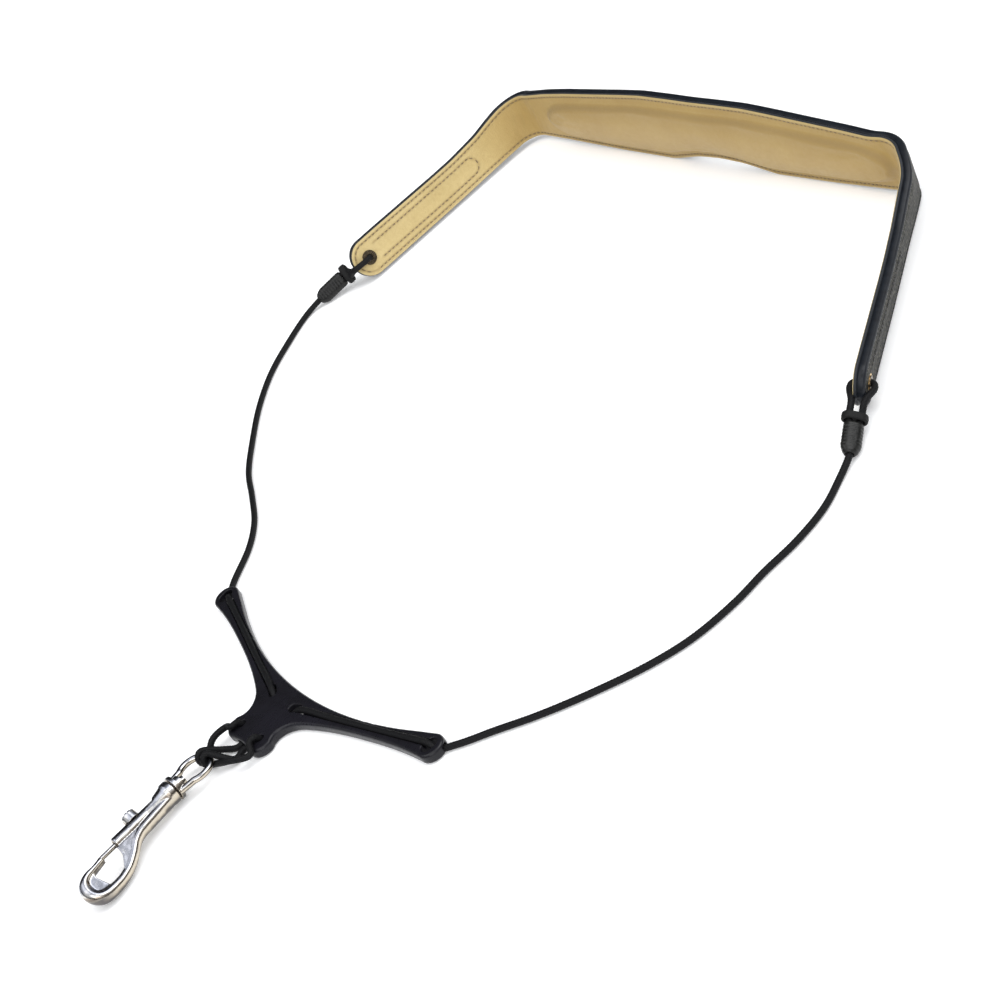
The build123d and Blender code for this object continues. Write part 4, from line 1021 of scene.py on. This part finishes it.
def add_strand(side):
    """A side's cord from sleeve to knot, split where the joints move it."""
    table, arm, loop, knot = strand_points(side)
    back_bow = [np.array(BACK_BOWS[side])]
    front_bow = [np.array(point) for point in FRONT_BOWS[side]][::-1]
    line = smooth_line(table + arm + back_bow + loop + front_bow + knot, CORD_STEP, soften=14)
    rings, relief = cord_rings(line, knot_bulb)
    tip = np.argmin(np.linalg.norm(line - arm[0], axis=1))
    back = np.argmin(np.linalg.norm(line - arm[-1], axis=1))
    mouth = np.argmin(np.linalg.norm(line - knot[1], axis=1))
    long_piece = cord_piece(f"{side}_cord_braid", rings[:tip + 1], relief[:tip + 1])
    dressed(long_piece, None, f"{side}_cord")
    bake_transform(long_piece)
    arm_piece = cord_piece(f"{side}_arm_cord_braid", rings[tip:back + 1], relief[tip:back + 1])
    dressed(arm_piece, "yoke", f"{side}_arm_cord")
    loop_piece = cord_piece(f"{side}_hook_loop_braid", rings[back:mouth + 1],
                            relief[back:mouth + 1])
    dressed(loop_piece, None, f"{side}_hook_loop")
    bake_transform(loop_piece)
    knot_piece = cord_piece(f"{side}_end_knot_braid", rings[mouth:], relief[mouth:])
    dressed(knot_piece, "yoke", f"{side}_end_knot")


def add_end_loop(side):
    """Doubled cord over both faces of a tail and through its eyelet."""
    centre, out, inward, rise = eyelet_frame(side)
    start, axis, across = sleeve_frame(side)
    line = []
    for sign in (1, -1):
        half = [start + axis * STRAND_DEPTH + across * sign * STRAND_SPACING,
                start + across * sign * STRAND_SPACING,
                start - axis * KEEPER_SET_BACK + across * sign * KEEPER_SPREAD,
                centre + out * LOOP_REACH + inward * sign * LOOP_DEPTHS[sign],
                centre + out * 2.6 + inward * sign * (LOOP_TURNS[sign] - 0.1),
                centre + out * 0.2 + inward * sign * (LOOP_TURNS[sign] - 0.9)]
        line += half if sign == 1 else half[::-1]
    rings, relief = cord_rings(smooth_line(line, CORD_STEP, soften=6))
    dressed(cord_piece(f"{side}_end_loop_braid", rings, relief), "neck_band", f"{side}_end_loop")


def add_sleeve(side):
    """Shrunk tube: oval over two strands, drawn in over one, with shallow ribs."""
    start, axis, across = sleeve_frame(side)
    length = np.linalg.norm(np.array(SLEEVES[side][1]) - start)
    other = np.cross(axis, across)
    turn = full_turn(SLEEVE_SIDES)
    inner, outer = [], []
    for along in np.linspace(0, length, 60):
        draw = float(ramp(along, length - SLEEVE_DRAW[0], length - SLEEVE_DRAW[1]))
        rib = SLEEVE_RIB * math.sin(2 * math.pi * along / SLEEVE_RIB_PITCH) * (1 - draw)
        lip = SLEEVE_LIP * float(1 - ramp(min(along, length - along), 0, 0.8))
        wide, deep = (oval * (1 - draw) + tip * draw + rib - lip
                      for oval, tip in zip(SLEEVE_OVAL, SLEEVE_TIP))
        pinch = 1 - 0.10 * (1 - draw) * np.sin(turn) ** 8
        for rings, wall in ((outer, 0.0), (inner, SLEEVE_WALL)):
            x, y = (wide - wall) * np.cos(turn), (deep - wall) * np.sin(turn) * pinch
            rings.append(start + axis * along + x[:, None] * across + y[:, None] * other)
    rings = np.array(outer + inner[::-1])
    made = add_mesh(f"{side}_sleeve_tube", rings, hoop_faces(len(rings), SLEEVE_SIDES), TUBING)
    dressed(made, "neck_band", f"{side}_sleeve")


def add_keeper(side):
    """Elastic ring gathering the loop's strands: a rounded, ridged band."""
    start, axis, across = sleeve_frame(side)
    other = np.cross(axis, across)
    middle = start - axis * KEEPER_SET_BACK
    turn = full_turn(KEEPER_SIDES)
    normal = np.stack((np.cos(turn), np.sin(turn)), -1)
    oval = normal * KEEPER_BORE
    oval[:, 0] += np.clip(np.cos(turn) * 40, -1, 1) * KEEPER_SPREAD
    rings = []
    for t in full_turn(24):
        wide = KEEPER_HALF_WIDTH * np.sign(math.cos(t)) * abs(math.cos(t)) ** 0.7
        high = 0.62 + 0.6 * np.sign(math.sin(t)) * abs(math.sin(t)) ** 0.8
        high += 0.10 * math.cos(3 * math.pi * wide / KEEPER_HALF_WIDTH) * (math.sin(t) > 0)
        flat = oval + normal * high
        rings.append(middle + axis * wide + flat[:, :1] * across + flat[:, 1:] * other)
    made = add_mesh(f"{side}_keeper_ring", rings, hoop_faces(len(rings), KEEPER_SIDES), RUBBER)
    dressed(made, "neck_band", f"{side}_keeper")


def add_spring():
    """Plunger spring: closed coils at both ends."""
    low, high = SPRING_SPAN
    turn = np.linspace(0, 2 * math.pi * SPRING_TURNS, SPRING_TURNS * 28)
    level = ramp(turn, 0, turn[-1]) * SPRING_CLOSING + turn / turn[-1] * (1 - SPRING_CLOSING)
    line = (SNAP_ORIGIN + SNAP_AXIS * (low + (high - low) * level)[:, None]
            + SPRING_RADIUS * np.cos(turn)[:, None] * level_side
            + SPRING_RADIUS * np.sin(turn)[:, None] * snap_up)
    tangent, side, up = carried_frame(line)
    rings = line[:, None] + SPRING_WIRE * circled(full_turn(SPRING_SIDES), side, up)
    made = add_mesh("plunger_spring_coil", rings, ring_faces(len(rings), SPRING_SIDES), STEEL)
    dressed(made, "latch", "plunger_spring")
    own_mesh(made)


add_spring()
for side in ("left", "right"):
    add_strand(side)
    add_end_loop(side)
    add_sleeve(side)
    add_keeper(side)

# --------------------------------------------------------- plate and metal
# CAD node, material, voxel size, smoothing passes, name and body
MOULDED = [("yoke_plate", RESIN, 0.28, 5, "yoke_plate_moulding", "yoke"),
           ("snap_body", NICKEL, 0.2, 8, "snap_body_casting", "snap"),
           ("swivel_eye", NICKEL, 0.18, 4, "swivel_eye_casting", "eye"),
           ("thumb_piece", NICKEL, 0.1, 3, "thumb_piece_casting", "latch")]
for piece in MOULDED:
    moulded(*piece)

# CAD nodes that are shown as they are
KEPT = {"left_eyelet": BRONZE, "right_eyelet": BRONZE, "left_eyelet_washer": BRASS,
        "right_eyelet_washer": BRASS, "left_tail_reinforcement": WEBBING,
        "right_tail_reinforcement": WEBBING, "swivel_rivet": NICKEL, "plunger": NICKEL}
for name, material in KEPT.items():
    nodes[name].data.materials.clear()
    nodes[name].data.materials.append(material)

# ------------------------------------------------------------------- stage
FLOOR_HALF = 6.0
FLOOR_GLOW = 0.22            # lifts the shadows as a lit table does
CAMERA_PLACE = Vector((755.1, -85.5, 487.4)) * MM
CAMERA_AIM = Vector((-2.8, 104.8, 0.0)) * MM
CAMERA_ROLL = math.radians(-36.09)
CAMERA_LENS = 93.6
LAMP_AIM = Vector((0, 0.1, 0))
LAMP_SIZE = 1.6
LAMPS = {"key": ((0.5, 1.3, 1.7), 24.0), "fill": ((1.6, -0.9, 1.3), 16.0),
         "top": ((-0.3, -0.5, 1.9), 12.0)}       # places in metres, watts
FLAG_DIRECTION = (-0.81, 0.24, 0.53)     # black flag mirrored by the plate
FLAG_SHADE = {1: 0.62, 2: 0.86, 3: 1.0, 4: 0.05}     # its edge, and the light outside and in
SKY = [(0.0, (0.10, 0.11, 0.12)), (0.22, (0.14, 0.1428, 0.1484)), (0.5, (0.75, 0.765, 0.795)),
       (1.0, (0.95, 0.97, 1.0))]
SKY_STRENGTH = 1.05


def add_floor():
    """Pale table, faintly uneven in tone."""
    paint = Paint("pale_table", Roughness=0.7)
    tone = paint.noise(400.0, 2)
    paint.set(Base_Color=paint.mix(tone, (0.93, 0.93, 0.93), (0.95, 0.95, 0.95)),
              Emission_Color=(1, 1, 1, 1), Emission_Strength=FLOOR_GLOW)
    mesh = bpy.data.meshes.new("table")
    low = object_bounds()[0].z - 0.00005
    corners = [(-FLOOR_HALF, -FLOOR_HALF, low), (FLOOR_HALF, -FLOOR_HALF, low),
               (FLOOR_HALF, FLOOR_HALF, low), (-FLOOR_HALF, FLOOR_HALF, low)]
    mesh.from_pydata(corners, [], [(0, 1, 2, 3)])
    mesh.materials.append(paint.material)
    table = bpy.data.objects.new("table", mesh)
    bpy.context.scene.collection.objects.link(table)


def add_lamp(name, place, power):
    """Soft square lamp aimed at the strap."""
    lamp = bpy.data.lights.new(name, "AREA")
    lamp.shape = "SQUARE"
    lamp.size = LAMP_SIZE
    lamp.energy = power
    made = bpy.data.objects.new(name, lamp)
    made.location = place
    made.rotation_euler = (LAMP_AIM - Vector(place)).to_track_quat("-Z", "Y").to_euler()
    bpy.context.scene.collection.objects.link(made)


def add_camera():
    """The viewpoint: level camera turned about its line of sight by the roll."""
    camera = bpy.data.cameras.new("camera")
    camera.lens = CAMERA_LENS
    camera.sensor_width = 36.0
    camera.clip_start, camera.clip_end = 0.01, 50.0
    made = bpy.data.objects.new("camera", camera)
    aim = (CAMERA_AIM - CAMERA_PLACE).to_track_quat("-Z", "Y").to_matrix()
    turned = aim @ Matrix.Rotation(CAMERA_ROLL, 3, "Z")
    made.matrix_world = Matrix.Translation(CAMERA_PLACE) @ turned.to_4x4()
    bpy.context.scene.collection.objects.link(made)
    bpy.context.scene.camera = made


def add_world():
    """Soft studio surround: bright overhead, dim towards the horizon, with a black flag."""
    world = bpy.data.worlds.new("studio")
    world.use_nodes = True
    tree = world.node_tree
    place, split, sky, facing, shade, dimmed = (
        tree.nodes.new(f"ShaderNode{kind}") for kind in
        ("TexCoord", "SeparateXYZ", "ValToRGB", "VectorMath", "MapRange", "VectorMath"))
    facing.operation, dimmed.operation = "DOT_PRODUCT", "SCALE"
    facing.inputs[1].default_value = FLAG_DIRECTION
    for socket, value in FLAG_SHADE.items():
        shade.inputs[socket].default_value = value
    background = tree.nodes["Background"]
    for source, target in ((place.outputs["Generated"], split.inputs[0]),
                           (place.outputs["Generated"], facing.inputs[0]),
                           (split.outputs["Z"], sky.inputs["Fac"]),
                           (facing.outputs["Value"], shade.inputs["Value"]),
                           (sky.outputs["Color"], dimmed.inputs[0]),
                           (shade.outputs["Result"], dimmed.inputs["Scale"]),
                           (dimmed.outputs["Vector"], background.inputs["Color"])):
        tree.links.new(source, target)
    colour_stops(sky.color_ramp, SKY)
    background.inputs["Strength"].default_value = SKY_STRENGTH
    bpy.context.scene.world = world


add_floor()
for name, (place, power) in LAMPS.items():
    add_lamp(name, place, power)
add_camera()
add_world()
bpy.context.scene.view_settings.view_transform = "Standard"
